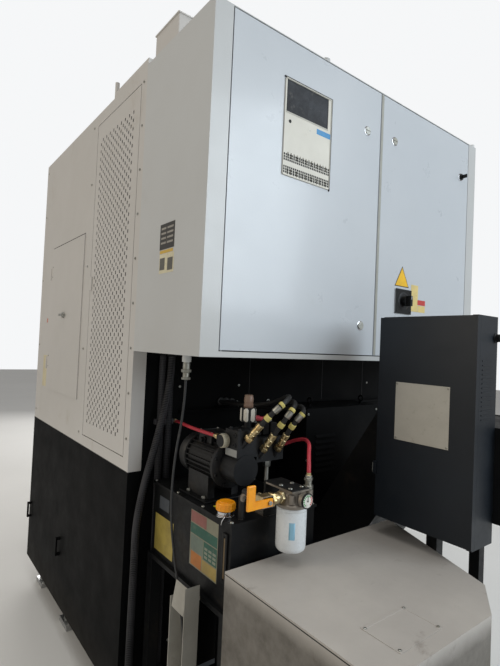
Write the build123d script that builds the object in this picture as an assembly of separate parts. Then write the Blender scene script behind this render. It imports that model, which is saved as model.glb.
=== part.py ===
from build123d import *
import math
import os

# CNC vertical lathe, modelled in millimetres.
# The origin is on the floor under the spindle axis. +Z is up, -Y is the operator's side,
# +Y is the rear with the electrical cabinet, +X is the side with the perforated guard door.

# Body of the machine
BODY_WIDTH = 1616
FRONT_Y = -640
REAR_Y = 820
BODY_TOP = 2580
SPLIT_Z = 997
SKIRT_Z = 140
PANEL_DEPTH = 55
SHEET = 3
HALF = BODY_WIDTH / 2
INNER_X = HALF - PANEL_DEPTH
INNER_FRONT = FRONT_Y + PANEL_DEPTH
INNER_REAR = REAR_Y - PANEL_DEPTH

# Base casting and its pads
PAD_THICK = 25
BASE_BOTTOM = 60
BASE_TOP = 780
CAST_WALL = 53
ANCHOR_INSET = 148
ANCHOR_X = HALF - ANCHOR_INSET
ANCHOR_Y = 500
ANCHOR_R = 14
PAD_X = 70
PAD_Y = 60
STEM_R = 18
STEM_X = INNER_X - 26
CORE_ROOF = 140
CORE_RIB = 40

# Column, cross slide and ram
COLUMN_HALF = 480
COLUMN_FRONT = 330
COLUMN_TOP = 2380
COLUMN_WALL = 40
RAIL_LOW = 1760
RAIL_HIGH = 2160
RAIL_PROUD = 28
RAIL_HALF = 20
SLIDE_FIT = 0.3
SADDLE_HALF = 150
SADDLE_BACK = 287
SADDLE_PLATE = 52
SADDLE_BOTTOM = 1700
SADDLE_TOP = 2340
GUIDE_HALF = 130
GUIDE_TOP = 1960
GUIDE_FRONT = 70
RAM_HALF = 75
RAM_FRONT = 95
RAM_BACK = 225
RAM_BOTTOM = 1685
RAM_TOP = 2300
X_SCREW_R = 14
X_SCREW_Z = 1960
Z_SCREW_R = 12
Z_SCREW_X = 172
Z_SCREW_Y = 190
SHELF = 20

# Turret
TURRET_Z = 1600
TURRET_FRONT = -45
TURRET_BACK = 50
TURRET_R = 150
STATIONS = 8
TOOL_BORE_R = 20
TOOL_BORE_DEPTH = 60
TOOL_OUT = 52
TURRET_BODY_HALF = 85
TURRET_BODY_BACK = 225
TURRET_SHAFT_R = 40

# Spindle, chuck and drive
CHUCK_R = 250
CHUCK_TOP = 1050
CHUCK_BOTTOM = 900
CHUCK_BORE = 70
SPINDLE_R = 60
SPINDLE_FLANGE_R = 140
SPINDLE_BOTTOM = 700
HOUSING_FLANGE_R = 230
HOUSING_R = 170
HOUSING_TOP = 880
BEARING_R = 100
BEARING_WIDE = 30
RUN_FIT = 0.05
SLOT_HALF = 22
SLOT_FOOT = 60
SLOT_DEPTH = 26
FOOT_DEPTH = 14
JAW_IN = 115
JAW_OUT = 205
JAW_RISE = 60
JAW_STEP = 30
PULLEY_R = 110
PULLEY_LOW = 710
PULLEY_HIGH = 752
BELT_THICK = 6
BELT_FIT = 0.3
POCKET_LOW = 690
POCKET_HIGH = 765
POCKET_HALF = 130
MOTOR_X = -187
MOTOR_Y = 918
MOTOR_HALF = 90
MOTOR_PULLEY_R = 60
MOTOR_SHAFT_R = 19
BRACKET_LOW = 760
BRACKET_HIGH = 775
MOTOR_TOP = 1180
COVER_X0 = -438
COVER_X1 = 65
COVER_BACK = 1020
COVER_TOP = 1230
LOUVRES = 7
LOUVRE_PITCH = 26
LOUVRE_RISE = 10
GUARD_LOW = 705

# Front door and window
DOOR_X0 = -310
DOOR_X1 = 310
DOOR_Z0 = 1040
DOOR_Z1 = 2100
DOOR_THICK = 34
DOOR_GAP = 16
DOOR_LAP = 30
WINDOW_MARGIN = 110
DOOR_TRAVEL = 490
DOOR_Y = (FRONT_Y - DOOR_GAP - DOOR_THICK, FRONT_Y - DOOR_GAP)
DOOR_MIDDLE = (DOOR_Y[0] + DOOR_Y[1]) / 2
RIB_HALF = 3
HANDLE_LOW = 1430
HANDLE_HIGH = 1770

# Guard door and access door on the +X side
GUARD_Y0 = 283
GUARD_Y1 = 767
GUARD_Z0 = 1048
GUARD_Z1 = 2520
FLUSH_THICK = 25
FLUSH_GAP = 4
PIVOT_IN = 8
PIVOT_R = 4
PIVOT_LONG = 14
HOLE_COLUMNS = 18
HOLE_ROWS = 38
HOLE_WIDE = 10
HOLE_TALL = 15
HOLE_PITCH_Y = 21.7
HOLE_PITCH_Z = 35.1
ACCESS_Y0 = -400
ACCESS_Y1 = 175
ACCESS_Z0 = 1200
ACCESS_Z1 = 2017
ACCESS_THICK = 5
ACCESS_LAP = 30
LATCH_R = 16
LATCH_Z = 1622
LATCH_SHAFT_R = 6
LATCH_PLATE_Z = 1760
HOLE_START_Y = 333
HOLE_START_Z = 1118
ACCESS_HINGES = (1350, 1870)
HINGE_X = HALF + 5.5
HINGE_Y = -406
HINGE_R = 5
HINGE_PIN_R = 2.5
HINGE_LONG = 35
PULLS_Y = (-600, 20)
PULL_Z = 430

# Operator pendant
PENDANT_X = 520
PENDANT_Y = -930
PENDANT_HALF = 200
PENDANT_DEPTH = 160
PENDANT_LOW = 1280
PENDANT_HIGH = 1800
ARM_HALF = 30
ARM_LOW = 2410
STOP_R = 9

# Electrical cabinet
CABINET_REAR = 1300
CABINET_BOTTOM = 1460
CABINET_TOP = 2577
CABINET_MARGIN = 69
CABINET_SILL = 22
CABINET_HEAD = 7
DOOR_SEAM = -19
DOOR_SEAM_HALF = 4
LOCK_R = 15
LOCK_SHAFT_R = 6
LOCK_1_X = 66
LOCK_2_X = -117
KEY_X = 143 - HALF
LOCK_TOP_Z = 2387
LOCK_LOW_Z = 1599
CAM_1_REACH = 58
CAM_2_REACH = 70
POST_Y = 1262
COOLER_X0 = 281
COOLER_X1 = 513
COOLER_Z0 = 2094
COOLER_Z1 = 2433
COOLER_PROUD = 5
COOLER_IN = 150
GRILLE_Z0 = 2316
VENT_ROWS = (2165, 2108)
SWITCH_X = -213
SWITCH_Z = 1722
SWITCH_PLATE = 56
SWITCH_KNOB_R = 22
GLAND_X = HALF - 30
GLAND_Y = 1175
GLAND_R = 10
GLAND_LONG = 80

# Hydraulic unit
TANK_X1 = HALF - 96
TANK_X0 = TANK_X1 - 348
TANK_Y0 = 863
TANK_Y1 = 1374
TANK_Z0 = 700
LEDGE_Z = 684
TANK_Z1 = 966
LID_THICK = 8
LID_LAP = 6
LEG = 40
PUMP_X = 603
PUMP_Z = 1090
PUMP_MOTOR_R = 72
PUMP_MOTOR_Y0 = 975
PUMP_MOTOR_Y1 = 1205
PUMP_R = 50
BLOCK_Y0 = 1215
BLOCK_Y1 = 1287
BLOCK_TOP = 1220
FILTER_X = 555
FILTER_Y = 1463
FILTER_R = 46
FILTER_LOW = 888
FILTER_HIGH = 1022
HEAD_HIGH = 1070
CAP_X = 688
CAP_Y = 1305
CAP_R = 30
VALVE_X = 700
VALVE_Z = 1053
HOSE_R = 9
RED_R = 6

# Chip conveyor
CONV_X0 = -345
CONV_X1 = 5
BED_START = -545
BED_LOW = 40
BED_HIGH = 300
CLIMB = 57
KNEE_Y = 1358
HEAD_Z = 1270
HEAD_END = 1850
HEAD_DEEP = 300
CASE_SHEET = 4
SPROCKET_R = 100
BELLY_Y = 1632
BELT_INSET = 28
SLAT = 8
CONV_SHAFT_R = 20
BOX_X1 = 135
BOX_Y0 = 1450
BOX_Y1 = 1805
BOX_Z0 = 908
BOX_Z1 = 1626

# Coolant tank
COOL_X1 = INNER_X
COOL_Y0 = 1406
COOL_Y1 = 1950
COOL_TOP = 850
LID_SHEET = 4

# Cable, its trough and the conduits
CABLE_R = 4
TROUGH_X0 = HALF - 60
TROUGH_X1 = HALF - 8
TROUGH_Y0 = 1180
TROUGH_Y1 = 1270
TROUGH_TOP = 754
CABLE_END = 130
CONDUIT_R = 14
CONDUIT_Y = 838
CONDUIT_XS = (655, 690)
LEDGE_RAIL = 1220
LEDGE_END = 600

# Roof
ROOF_BOX_X0 = 358
ROOF_BOX_X1 = 708
ROOF_BOX_Y0 = 663
ROOF_BOX_Y1 = 865
ROOF_BOX_TOP = 2816
STRIP_Y0 = 482


def block(x, y, z):
    """A box between two corners, each axis given as (low, high)."""
    size = (x[1] - x[0], y[1] - y[0], z[1] - z[0])
    middle = ((x[0] + x[1]) / 2, (y[0] + y[1]) / 2, (z[0] + z[1]) / 2)
    return Pos(*middle) * Box(*size)


def rod_z(radius, x, y, z):
    """A round bar along Z."""
    return Pos(x, y, (z[0] + z[1]) / 2) * Cylinder(radius, z[1] - z[0])


def rod_y(radius, x, y, z):
    """A round bar along Y."""
    return Pos(x, (y[0] + y[1]) / 2, z) * Rot(90, 0, 0) * Cylinder(radius, y[1] - y[0])


def rod_x(radius, y, z, x):
    """A round bar along X, its span given last."""
    return Pos((x[0] + x[1]) / 2, y, z) * Rot(0, 90, 0) * Cylinder(radius, x[1] - x[0])


def grow(span, amount):
    """A span widened by the same amount at both ends."""
    return (span[0] - amount, span[1] + amount)


def pan(x, y, z, face, sheet=SHEET):
    """A folded sheet pan: a plate on one face of the box and a flange round it."""
    inner = {"x": grow(x, -sheet), "y": grow(y, -sheet), "z": grow(z, -sheet)}
    axis = face[1]
    span = {"x": x, "y": y, "z": z}[axis]
    if face[0] == "+":
        inner[axis] = (span[0] - 1, span[1] - sheet)
    else:
        inner[axis] = (span[0] + sheet, span[1] + 1)
    return block(x, y, z) - block(inner["x"], inner["y"], inner["z"])


def tube_along(points, radius):
    """A tube along straight runs joined by the largest tangent arcs; returns solid and radii."""
    corners = [Vector(*p) for p in points]
    radii = []
    for before, here, after in zip(corners, corners[1:], corners[2:]):
        turn = (here - before).get_angle(after - here)
        shorter = min((here - before).length, (after - here).length)
        radii.append(0.45 * shorter / math.tan(math.radians(turn) / 2))
    path = FilletPolyline(*points, radius=radii)
    start = Plane(origin=path @ 0, z_dir=path % 0)
    return sweep(start * Circle(radius), path=path), radii, path.length


NODES = {}


def node(name, *solids):
    """Keeps one named sub-part, made of one solid or of a group of separate ones."""
    NODES[name] = solids[0] if len(solids) == 1 else Compound(children=list(solids))


# Conveyor outline

SLOPE = math.tan(math.radians(CLIMB))
LOW_KNEE = KNEE_Y - (HEAD_Z - BED_HIGH) / SLOPE


def conveyor_face(inset):
    """Side outline of the conveyor case as a face in the YZ plane, drawn inwards by inset."""
    points = [
        (BED_START, BED_LOW),
        (BELLY_Y - (HEAD_Z - BED_LOW) / SLOPE, BED_LOW),
        (BELLY_Y - HEAD_DEEP / SLOPE, HEAD_Z - HEAD_DEEP),
        (HEAD_END, HEAD_Z - HEAD_DEEP),
        (HEAD_END, HEAD_Z),
        (KNEE_Y, HEAD_Z),
        (LOW_KNEE, BED_HIGH),
        (BED_START, BED_HIGH),
    ]
    face = make_face(Polyline(*points, close=True))
    return offset(face, amount=-inset, kind=Kind.INTERSECTION) if inset else face


def along_x(face, x):
    """Extrudes a face drawn with (Y, Z) as its coordinates between two X planes."""
    return extrude(Plane.YZ.offset(x[0]) * face, amount=x[1] - x[0])


# Base casting, pads and column

TUNNEL_X = (CONV_X0 - 15, CONV_X1 + 15)
TUNNEL_TOP = BED_HIGH + 30
TUNNEL_START = BED_START - 10
CHUTE_Y = (-560, -330)


def make_base():
    """Cast base: bridge over the conveyor, belt pocket, spindle seat and side cores."""
    body = block((-INNER_X, INNER_X), (INNER_FRONT, INNER_REAR), (BASE_BOTTOM, BASE_TOP))
    body -= block(TUNNEL_X, (TUNNEL_START, INNER_REAR + 1), (BASE_BOTTOM - 1, TUNNEL_TOP))
    body -= block(TUNNEL_X, (LOW_KNEE - 40, INNER_REAR + 1), (TUNNEL_TOP - 1, TUNNEL_TOP + 140))
    body -= block((CONV_X0, CONV_X1), CHUTE_Y, (TUNNEL_TOP - 1, BASE_TOP + 1))
    left = (-INNER_X + CAST_WALL, TUNNEL_X[0] - CORE_RIB)
    right = (TUNNEL_X[1] + CORE_RIB, INNER_X - CAST_WALL)
    for x in (left, right):
        for y in ((INNER_FRONT + CAST_WALL, -CORE_RIB), (CORE_RIB, INNER_REAR - CAST_WALL)):
            body -= block(x, y, (BASE_BOTTOM - 1, BASE_TOP - CORE_ROOF))
    body -= belt_pocket()
    body -= rod_z(PULLEY_R + 5, 0, 0, (POCKET_HIGH - 1, BASE_TOP + 1))
    for side in (-1, 1):
        for y in (-ANCHOR_Y, ANCHOR_Y):
            lug_z = (BASE_BOTTOM, BASE_BOTTOM + 40)
            lug = block((ANCHOR_X - 40, INNER_X - CAST_WALL), (y - 45, y + 45), lug_z)
            lug -= rod_z(ANCHOR_R, ANCHOR_X, y, (BASE_BOTTOM - 1, BASE_BOTTOM + 41))
            body += lug if side > 0 else mirror(lug, about=Plane.YZ)
    return body


def belt_pocket():
    """Slanted space for the main belt, from the spindle out through the rear of the base."""
    reach = math.hypot(MOTOR_X, MOTOR_Y)
    angle = math.degrees(math.atan2(MOTOR_Y, MOTOR_X))
    start = -PULLEY_R - 30
    long = block((start, reach), (-POCKET_HALF, POCKET_HALF), (POCKET_LOW, POCKET_HIGH))
    return Rot(0, 0, angle) * long


def make_pads():
    """Levelling pads with their screws; the four outer ones carry the floor anchor holes."""
    pads = []
    for side in (-1, 1):
        for y in (-ANCHOR_Y, 0, ANCHOR_Y):
            middle = side * (ANCHOR_X + STEM_X) / 2
            pad = block((middle - PAD_X, middle + PAD_X), (y - PAD_Y, y + PAD_Y), (0, PAD_THICK))
            pad += rod_z(STEM_R, side * STEM_X, y, (PAD_THICK, BASE_BOTTOM))
            if y:
                pad -= rod_z(ANCHOR_R, side * ANCHOR_X, y, (-1, PAD_THICK + 1))
            pads.append(pad)
    return pads


def make_column():
    """Hollow cast column with the two cross rails and the screw supports on its front."""
    body = block((-COLUMN_HALF, COLUMN_HALF), (COLUMN_FRONT, INNER_REAR), (BASE_TOP, COLUMN_TOP))
    core_x = (-COLUMN_HALF + COLUMN_WALL, COLUMN_HALF - COLUMN_WALL)
    middle = (BASE_TOP + COLUMN_TOP) / 2
    lower = (BASE_TOP + COLUMN_WALL, middle - COLUMN_WALL / 2)
    upper = (middle + COLUMN_WALL / 2, COLUMN_TOP - COLUMN_WALL)
    for z in (lower, upper):
        body -= block(core_x, (COLUMN_FRONT + COLUMN_WALL, INNER_REAR + 1), z)
    for z in (RAIL_LOW, RAIL_HIGH):
        body += block((-COLUMN_HALF + 20, COLUMN_HALF - 20), (COLUMN_FRONT - RAIL_PROUD, COLUMN_FRONT),
                      (z - RAIL_HALF, z + RAIL_HALF))
    for x in ((-COLUMN_HALF, -COLUMN_HALF + 35), (COLUMN_HALF - 35, COLUMN_HALF)):
        body += block(x, (SADDLE_BACK + 5, COLUMN_FRONT), (X_SCREW_Z - 35, X_SCREW_Z + 35))
    return body - rod_x(X_SCREW_R + RUN_FIT, X_SCREW_Y, X_SCREW_Z, (-COLUMN_HALF - 1, COLUMN_HALF + 1))


X_SCREW_Y = (SADDLE_BACK + COLUMN_FRONT) / 2
node("base_casting", make_base())
node("leveling_pads", *make_pads())
node("column_casting", make_column())

# Cross drive

X_MOTOR_Z = (X_SCREW_Z - 65, X_SCREW_Z + 65)
x_screw = rod_x(X_SCREW_R, X_SCREW_Y, X_SCREW_Z, (-COLUMN_HALF - 20, COLUMN_HALF))
x_motor = block((-COLUMN_HALF - 200, -COLUMN_HALF - 20), (X_SCREW_Y - 65, X_SCREW_Y + 65), X_MOTOR_Z)
x_motor += block((-COLUMN_HALF - 20, -COLUMN_HALF), (X_SCREW_Y - 75, X_SCREW_Y + 75),
                 (X_SCREW_Z - 75, X_SCREW_Z + 75))
x_motor -= rod_x(X_SCREW_R, X_SCREW_Y, X_SCREW_Z, (-COLUMN_HALF - 20, COLUMN_HALF))
x_motor += block((-COLUMN_HALF - 150, -COLUMN_HALF - 90), (X_SCREW_Y - 30, X_SCREW_Y + 30),
                 (X_MOTOR_Z[1], X_MOTOR_Z[1] + 40))
node("x_drive", x_screw, x_motor)


# Saddle, ram and their screw

def make_saddle():
    """Cross saddle: carriages round the rails, box guide for the ram, shelf for the lift motor."""
    plate_front = SADDLE_BACK - SADDLE_PLATE
    shelf_x = Z_SCREW_X + 63
    body = block((-SADDLE_HALF, shelf_x), (plate_front, SADDLE_BACK), (SADDLE_BOTTOM, SADDLE_TOP))
    for z in (RAIL_LOW, RAIL_HIGH):
        carriage = block((-SADDLE_HALF, SADDLE_HALF), (SADDLE_BACK, COLUMN_FRONT - 4), (z - 45, z + 45))
        groove_y = (COLUMN_FRONT - RAIL_PROUD - SLIDE_FIT, COLUMN_FRONT)
        carriage -= block((-SADDLE_HALF - 1, SADDLE_HALF + 1), groove_y,
                          (z - RAIL_HALF - SLIDE_FIT, z + RAIL_HALF + SLIDE_FIT))
        body += carriage
    nut = block((-45, 45), (SADDLE_BACK, COLUMN_FRONT - 4), (X_SCREW_Z - 30, X_SCREW_Z + 30))
    body += nut - rod_x(X_SCREW_R + SLIDE_FIT, X_SCREW_Y, X_SCREW_Z, (-50, 50))
    guide = block((-GUIDE_HALF, GUIDE_HALF), (GUIDE_FRONT, plate_front), (SADDLE_BOTTOM, GUIDE_TOP))
    body += guide - block((-RAM_HALF - SLIDE_FIT, RAM_HALF + SLIDE_FIT),
                          (RAM_FRONT - SLIDE_FIT, RAM_BACK + SLIDE_FIT), (SADDLE_BOTTOM - 1, GUIDE_TOP + 1))
    body += block((GUIDE_HALF, shelf_x), (Z_SCREW_Y - 40, plate_front), (GUIDE_TOP - 60, GUIDE_TOP))
    body += block((GUIDE_HALF - 20, shelf_x), (Z_SCREW_Y - 60, plate_front),
                  (SADDLE_TOP - SHELF, SADDLE_TOP))
    return body - rod_z(Z_SCREW_R + RUN_FIT, Z_SCREW_X, Z_SCREW_Y, (GUIDE_TOP - 61, SADDLE_TOP + 1))


def make_ram():
    """Square ram with the screw arm at its top and the turret head at its foot."""
    body = block((-RAM_HALF, RAM_HALF), (RAM_FRONT, RAM_BACK), (RAM_BOTTOM, RAM_TOP))
    arm = block((RAM_HALF, Z_SCREW_X + 35), (Z_SCREW_Y - 35, RAM_BACK), (RAM_TOP - 40, RAM_TOP))
    body += arm - rod_z(Z_SCREW_R + SLIDE_FIT, Z_SCREW_X, Z_SCREW_Y, (RAM_TOP - 41, RAM_TOP + 1))
    body += block((-TURRET_BODY_HALF, TURRET_BODY_HALF), (TURRET_BACK + 8, TURRET_BODY_BACK),
                  (TURRET_Z - TURRET_BODY_HALF, RAM_BOTTOM))
    return body - rod_y(TURRET_SHAFT_R + RUN_FIT, 0, (TURRET_BACK, TURRET_BACK + 60), TURRET_Z)


def make_turret():
    """Eight-sided turret with a bore in every second flat and holders on the others."""
    flat = TURRET_R * math.cos(math.pi / STATIONS)
    face = RegularPolygon(radius=TURRET_R, side_count=STATIONS, rotation=180 / STATIONS)
    disc = extrude(Plane.XZ.offset(-TURRET_BACK) * face, amount=TURRET_BACK - TURRET_FRONT)
    body = disc + rod_y(TURRET_SHAFT_R, 0, (TURRET_BACK, TURRET_BACK + 59), 0)
    body += rod_y(TURRET_R * 0.45, 0, (TURRET_FRONT - 12, TURRET_FRONT), 0)
    middle = (TURRET_FRONT + TURRET_BACK) / 2
    for station in range(0, STATIONS, 2):
        turn = Rot(0, 360 / STATIONS * station, 0)
        body -= turn * rod_z(TOOL_BORE_R, 0, middle, (flat - TOOL_BORE_DEPTH, flat + 1))
    for station in range(1, STATIONS, 2):
        holder = block((-34, 34), (TURRET_FRONT + 6, TURRET_BACK - 6), (flat, flat + TOOL_OUT * 0.6))
        holder += block((-12, 12), (middle - 12, middle + 12), (flat + TOOL_OUT * 0.6, flat + TOOL_OUT))
        body += Rot(0, 360 / STATIONS * station, 0) * holder
    return Pos(0, 0, TURRET_Z) * body


Z_MOTOR = (SADDLE_TOP, SADDLE_TOP + 175)
z_screw = rod_z(Z_SCREW_R, Z_SCREW_X, Z_SCREW_Y, (GUIDE_TOP - 60, SADDLE_TOP))
z_motor = block((Z_SCREW_X - 55, Z_SCREW_X + 55), (Z_SCREW_Y - 60, Z_SCREW_Y + 40), Z_MOTOR)
node("x_saddle", make_saddle())
node("z_drive", z_screw, z_motor)
node("z_ram", make_ram())
node("turret_disc", make_turret())


# Spindle, chuck and main drive

def make_jaw():
    """Stepped chuck jaw with its foot, drawn on the +X radius."""
    half = SLOT_HALF - SLIDE_FIT
    foot = SLOT_FOOT / 2 - SLIDE_FIT
    floor = CHUCK_TOP - SLOT_DEPTH - FOOT_DEPTH
    body = block((JAW_IN, JAW_OUT), (-foot, foot), (floor + SLIDE_FIT, floor + FOOT_DEPTH - SLIDE_FIT))
    body += block((JAW_IN, JAW_OUT), (-half, half), (floor + FOOT_DEPTH - SLIDE_FIT, CHUCK_TOP + JAW_RISE))
    for step in (1, 2):
        body -= block((JAW_IN - 1, JAW_IN + JAW_STEP * step), (-half - 1, half + 1),
                      (CHUCK_TOP + JAW_RISE - 20 * (3 - step), CHUCK_TOP + JAW_RISE + 1))
    return body


def make_chuck():
    """Chuck body with its bore and three undercut jaw slots."""
    body = rod_z(CHUCK_R, 0, 0, (CHUCK_BOTTOM, CHUCK_TOP))
    body -= rod_z(CHUCK_BORE, 0, 0, (CHUCK_BOTTOM - 1, CHUCK_TOP + 1))
    floor = CHUCK_TOP - SLOT_DEPTH - FOOT_DEPTH
    reach = (CHUCK_BORE - 5, CHUCK_R + 5)
    slot = block(reach, (-SLOT_HALF, SLOT_HALF), (floor, CHUCK_TOP + 1))
    slot += block(reach, (-SLOT_FOOT / 2, SLOT_FOOT / 2), (floor, floor + FOOT_DEPTH))
    for jaw in range(3):
        body -= Rot(0, 0, 120 * jaw + 90) * slot
    return body


def belt_outline(offset):
    """Outline round both pulleys, seen from above, grown by offset."""
    reach = math.hypot(MOTOR_X, MOTOR_Y)
    big = PULLEY_R + offset
    small = MOTOR_PULLEY_R + offset
    lean = math.acos((big - small) / reach)
    corners = []
    for side in (1, -1):
        unit = (math.cos(lean), side * math.sin(lean))
        pair = [(big * unit[0], big * unit[1]), (reach + small * unit[0], small * unit[1])]
        corners.extend(pair if side > 0 else pair[::-1])
    face = make_face(Polyline(*corners, close=True)) + Circle(big) + Pos(reach, 0) * Circle(small)
    return Rot(0, 0, math.degrees(math.atan2(MOTOR_Y, MOTOR_X))) * face


housing = rod_z(HOUSING_FLANGE_R, 0, 0, (BASE_TOP, BASE_TOP + 30))
housing += rod_z(HOUSING_R, 0, 0, (BASE_TOP, HOUSING_TOP))
housing -= rod_z(BEARING_R, 0, 0, (BASE_TOP - 1, HOUSING_TOP + 1))
bearings = []
for low in (BASE_TOP + 5, HOUSING_TOP - 5 - BEARING_WIDE):
    ring = rod_z(BEARING_R, 0, 0, (low, low + BEARING_WIDE))
    bearings.append(ring - rod_z(SPINDLE_R + RUN_FIT, 0, 0, (low - 1, low + BEARING_WIDE + 1)))
node("spindle_housing", housing, *bearings)

spindle = rod_z(SPINDLE_R, 0, 0, (SPINDLE_BOTTOM, CHUCK_BOTTOM - 15))
spindle += rod_z(SPINDLE_FLANGE_R, 0, 0, (CHUCK_BOTTOM - 15, CHUCK_BOTTOM))
spindle += rod_z(PULLEY_R, 0, 0, (PULLEY_LOW, PULLEY_HIGH))
node("spindle_shaft", spindle)
node("chuck_body", make_chuck())
for number in range(3):
    node(f"chuck_jaw_{number + 1}", Rot(0, 0, 120 * number + 90) * make_jaw())

belt_ring = belt_outline(BELT_FIT + BELT_THICK) - belt_outline(BELT_FIT)
node("drive_belt", Pos(0, 0, PULLEY_LOW + 5) * extrude(belt_ring, amount=PULLEY_HIGH - PULLEY_LOW - 10))
pulley = rod_z(MOTOR_PULLEY_R, MOTOR_X, MOTOR_Y, (PULLEY_LOW, PULLEY_HIGH))
pulley += rod_z(MOTOR_SHAFT_R, MOTOR_X, MOTOR_Y, (PULLEY_HIGH, BRACKET_HIGH + 60))
node("motor_pulley", pulley)

motor = block((MOTOR_X - MOTOR_HALF, MOTOR_X + MOTOR_HALF), (MOTOR_Y - MOTOR_HALF, MOTOR_Y + MOTOR_HALF),
              (BRACKET_HIGH, MOTOR_TOP))
motor = fillet(motor.edges().filter_by(Axis.Z), 18)
motor -= rod_z(MOTOR_SHAFT_R + RUN_FIT, MOTOR_X, MOTOR_Y, (BRACKET_HIGH - 1, BRACKET_HIGH + 61))
node("spindle_motor", motor)


def make_motor_cover():
    """Louvred cover, its bracket plate, the belt guard under it and two lifting eyes."""
    cover = block((COVER_X0, COVER_X1), (REAR_Y, COVER_BACK), (BRACKET_HIGH, COVER_TOP))
    cover -= block((COVER_X0 + SHEET, COVER_X1 - SHEET), (REAR_Y - 1, COVER_BACK - SHEET),
                   (BRACKET_HIGH - 1, COVER_TOP - SHEET))
    x = (COVER_X1 - 190, COVER_X1 - 60)
    for number in range(LOUVRES):
        z = COVER_TOP - 120 - LOUVRE_PITCH * number
        cover -= block(x, (COVER_BACK - 5, COVER_BACK + 1), (z - LOUVRE_RISE, z - 2))
        blade = Polyline((COVER_BACK - 1, z), (COVER_BACK + 9, z - 14), (COVER_BACK + 7, z - 14),
                         (COVER_BACK - 1, z - 3), close=True)
        cover += along_x(make_face(blade), x)
    plate = block((COVER_X0, COVER_X1), (REAR_Y, COVER_BACK), (BRACKET_LOW, BRACKET_HIGH))
    plate -= rod_z(MOTOR_SHAFT_R + 8, MOTOR_X, MOTOR_Y, (BRACKET_LOW - 1, BRACKET_HIGH + 1))
    guard_x = (MOTOR_X - MOTOR_PULLEY_R - 18, MOTOR_X + MOTOR_PULLEY_R + 44)
    guard_y = (REAR_Y, MOTOR_Y + MOTOR_PULLEY_R + BELT_FIT + BELT_THICK + 5)
    guard = block(guard_x, guard_y, (GUARD_LOW, BRACKET_LOW))
    guard -= block(grow(guard_x, -2), (REAR_Y - 1, guard_y[1] - 2), (GUARD_LOW + 2, BRACKET_LOW + 1))
    solids = [cover, plate, guard]
    for x_eye in (COVER_X1 - 75, COVER_X0 + 60):
        eye = rod_z(9, x_eye, COVER_BACK - 60, (COVER_TOP, COVER_TOP + 14))
        solids.append(eye + Pos(x_eye, COVER_BACK - 60, COVER_TOP + 26) * Rot(0, 90, 0) * Torus(13, 4))
    return solids


node("motor_cover", *make_motor_cover())


# Enclosure

BODY_Y = (FRONT_Y, REAR_Y)
UPPER_Z = (SPLIT_Z, BODY_TOP)
SIDE_X = (INNER_X, HALF)


def pivot_pins(x, y, low, high):
    """Fixed pins of a flush door: they cross the gap and reach into both ends of the leaf."""
    foot = rod_z(PIVOT_R, x, y, (low - FLUSH_GAP - 1, low + PIVOT_LONG - FLUSH_GAP))
    head = rod_z(PIVOT_R, x, y, (high - PIVOT_LONG + FLUSH_GAP, high + FLUSH_GAP + 1))
    return foot + head


def pivot_sockets(x, y, low, high):
    """The matching holes in the leaf."""
    depth = PIVOT_LONG - FLUSH_GAP + 0.5
    foot = rod_z(PIVOT_R + RUN_FIT, x, y, (low - 1, low + depth))
    head = rod_z(PIVOT_R + RUN_FIT, x, y, (high - depth, high + 1))
    return foot + head


def make_side_panel():
    """Right-hand side panel: folded sheet with the guard opening, its frame, and the access opening."""
    body = pan(SIDE_X, BODY_Y, UPPER_Z, "+x")
    opening_y = grow((GUARD_Y0, GUARD_Y1), FLUSH_GAP)
    opening_z = grow((GUARD_Z0, GUARD_Z1), FLUSH_GAP)
    frame = block((HALF - FLUSH_THICK - 5, HALF), grow(opening_y, SHEET), grow(opening_z, SHEET))
    body += frame
    body -= block((INNER_X - 1, HALF + 1), opening_y, opening_z)
    body -= block((HALF - 10, HALF + 1), (ACCESS_Y0 + ACCESS_LAP, ACCESS_Y1 - ACCESS_LAP),
                  (ACCESS_Z0 + ACCESS_LAP, ACCESS_Z1 - ACCESS_LAP))
    body += pivot_pins(HALF - PIVOT_IN, GUARD_Y1 - PIVOT_IN, GUARD_Z0, GUARD_Z1)
    for z in ACCESS_HINGES:
        knuckle = rod_z(HINGE_R, HINGE_X, HINGE_Y, (z - HINGE_LONG, z))
        knuckle += block((HALF, HINGE_X), (HINGE_Y - HINGE_R, HINGE_Y + HINGE_R), (z - HINGE_LONG, z))
        body += knuckle + rod_z(HINGE_PIN_R, HINGE_X, HINGE_Y, (z, z + HINGE_LONG))
    return body


def make_roof_strip():
    """Folded strip along the top edge of the right side panel and the rounded post at its front end."""
    strip = pan((HALF - 48, HALF - 2), (STRIP_Y0, REAR_Y), (BODY_TOP, BODY_TOP + 26), "+z")
    return strip, rod_z(9.5, HALF - 12, STRIP_Y0 - 12, (BODY_TOP, BODY_TOP + 77))


def make_lower_panels():
    """Black lower panels: right, left and front, with a pair of pulls on each side."""
    z = (SKIRT_Z, SPLIT_Z)
    right = pan(SIDE_X, BODY_Y, z, "+x")
    for y in PULLS_Y:
        pull = block((HALF, HALF + 22), (y - 8, y + 8), (PULL_Z - 45, PULL_Z + 45))
        pull -= block((HALF - 1, HALF + 14), (y - 9, y + 9), (PULL_Z - 33, PULL_Z + 33))
        right += pull
    front = pan((-INNER_X, INNER_X), (FRONT_Y, INNER_FRONT), z, "-y")
    return right, mirror(right, about=Plane.YZ), front


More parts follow.
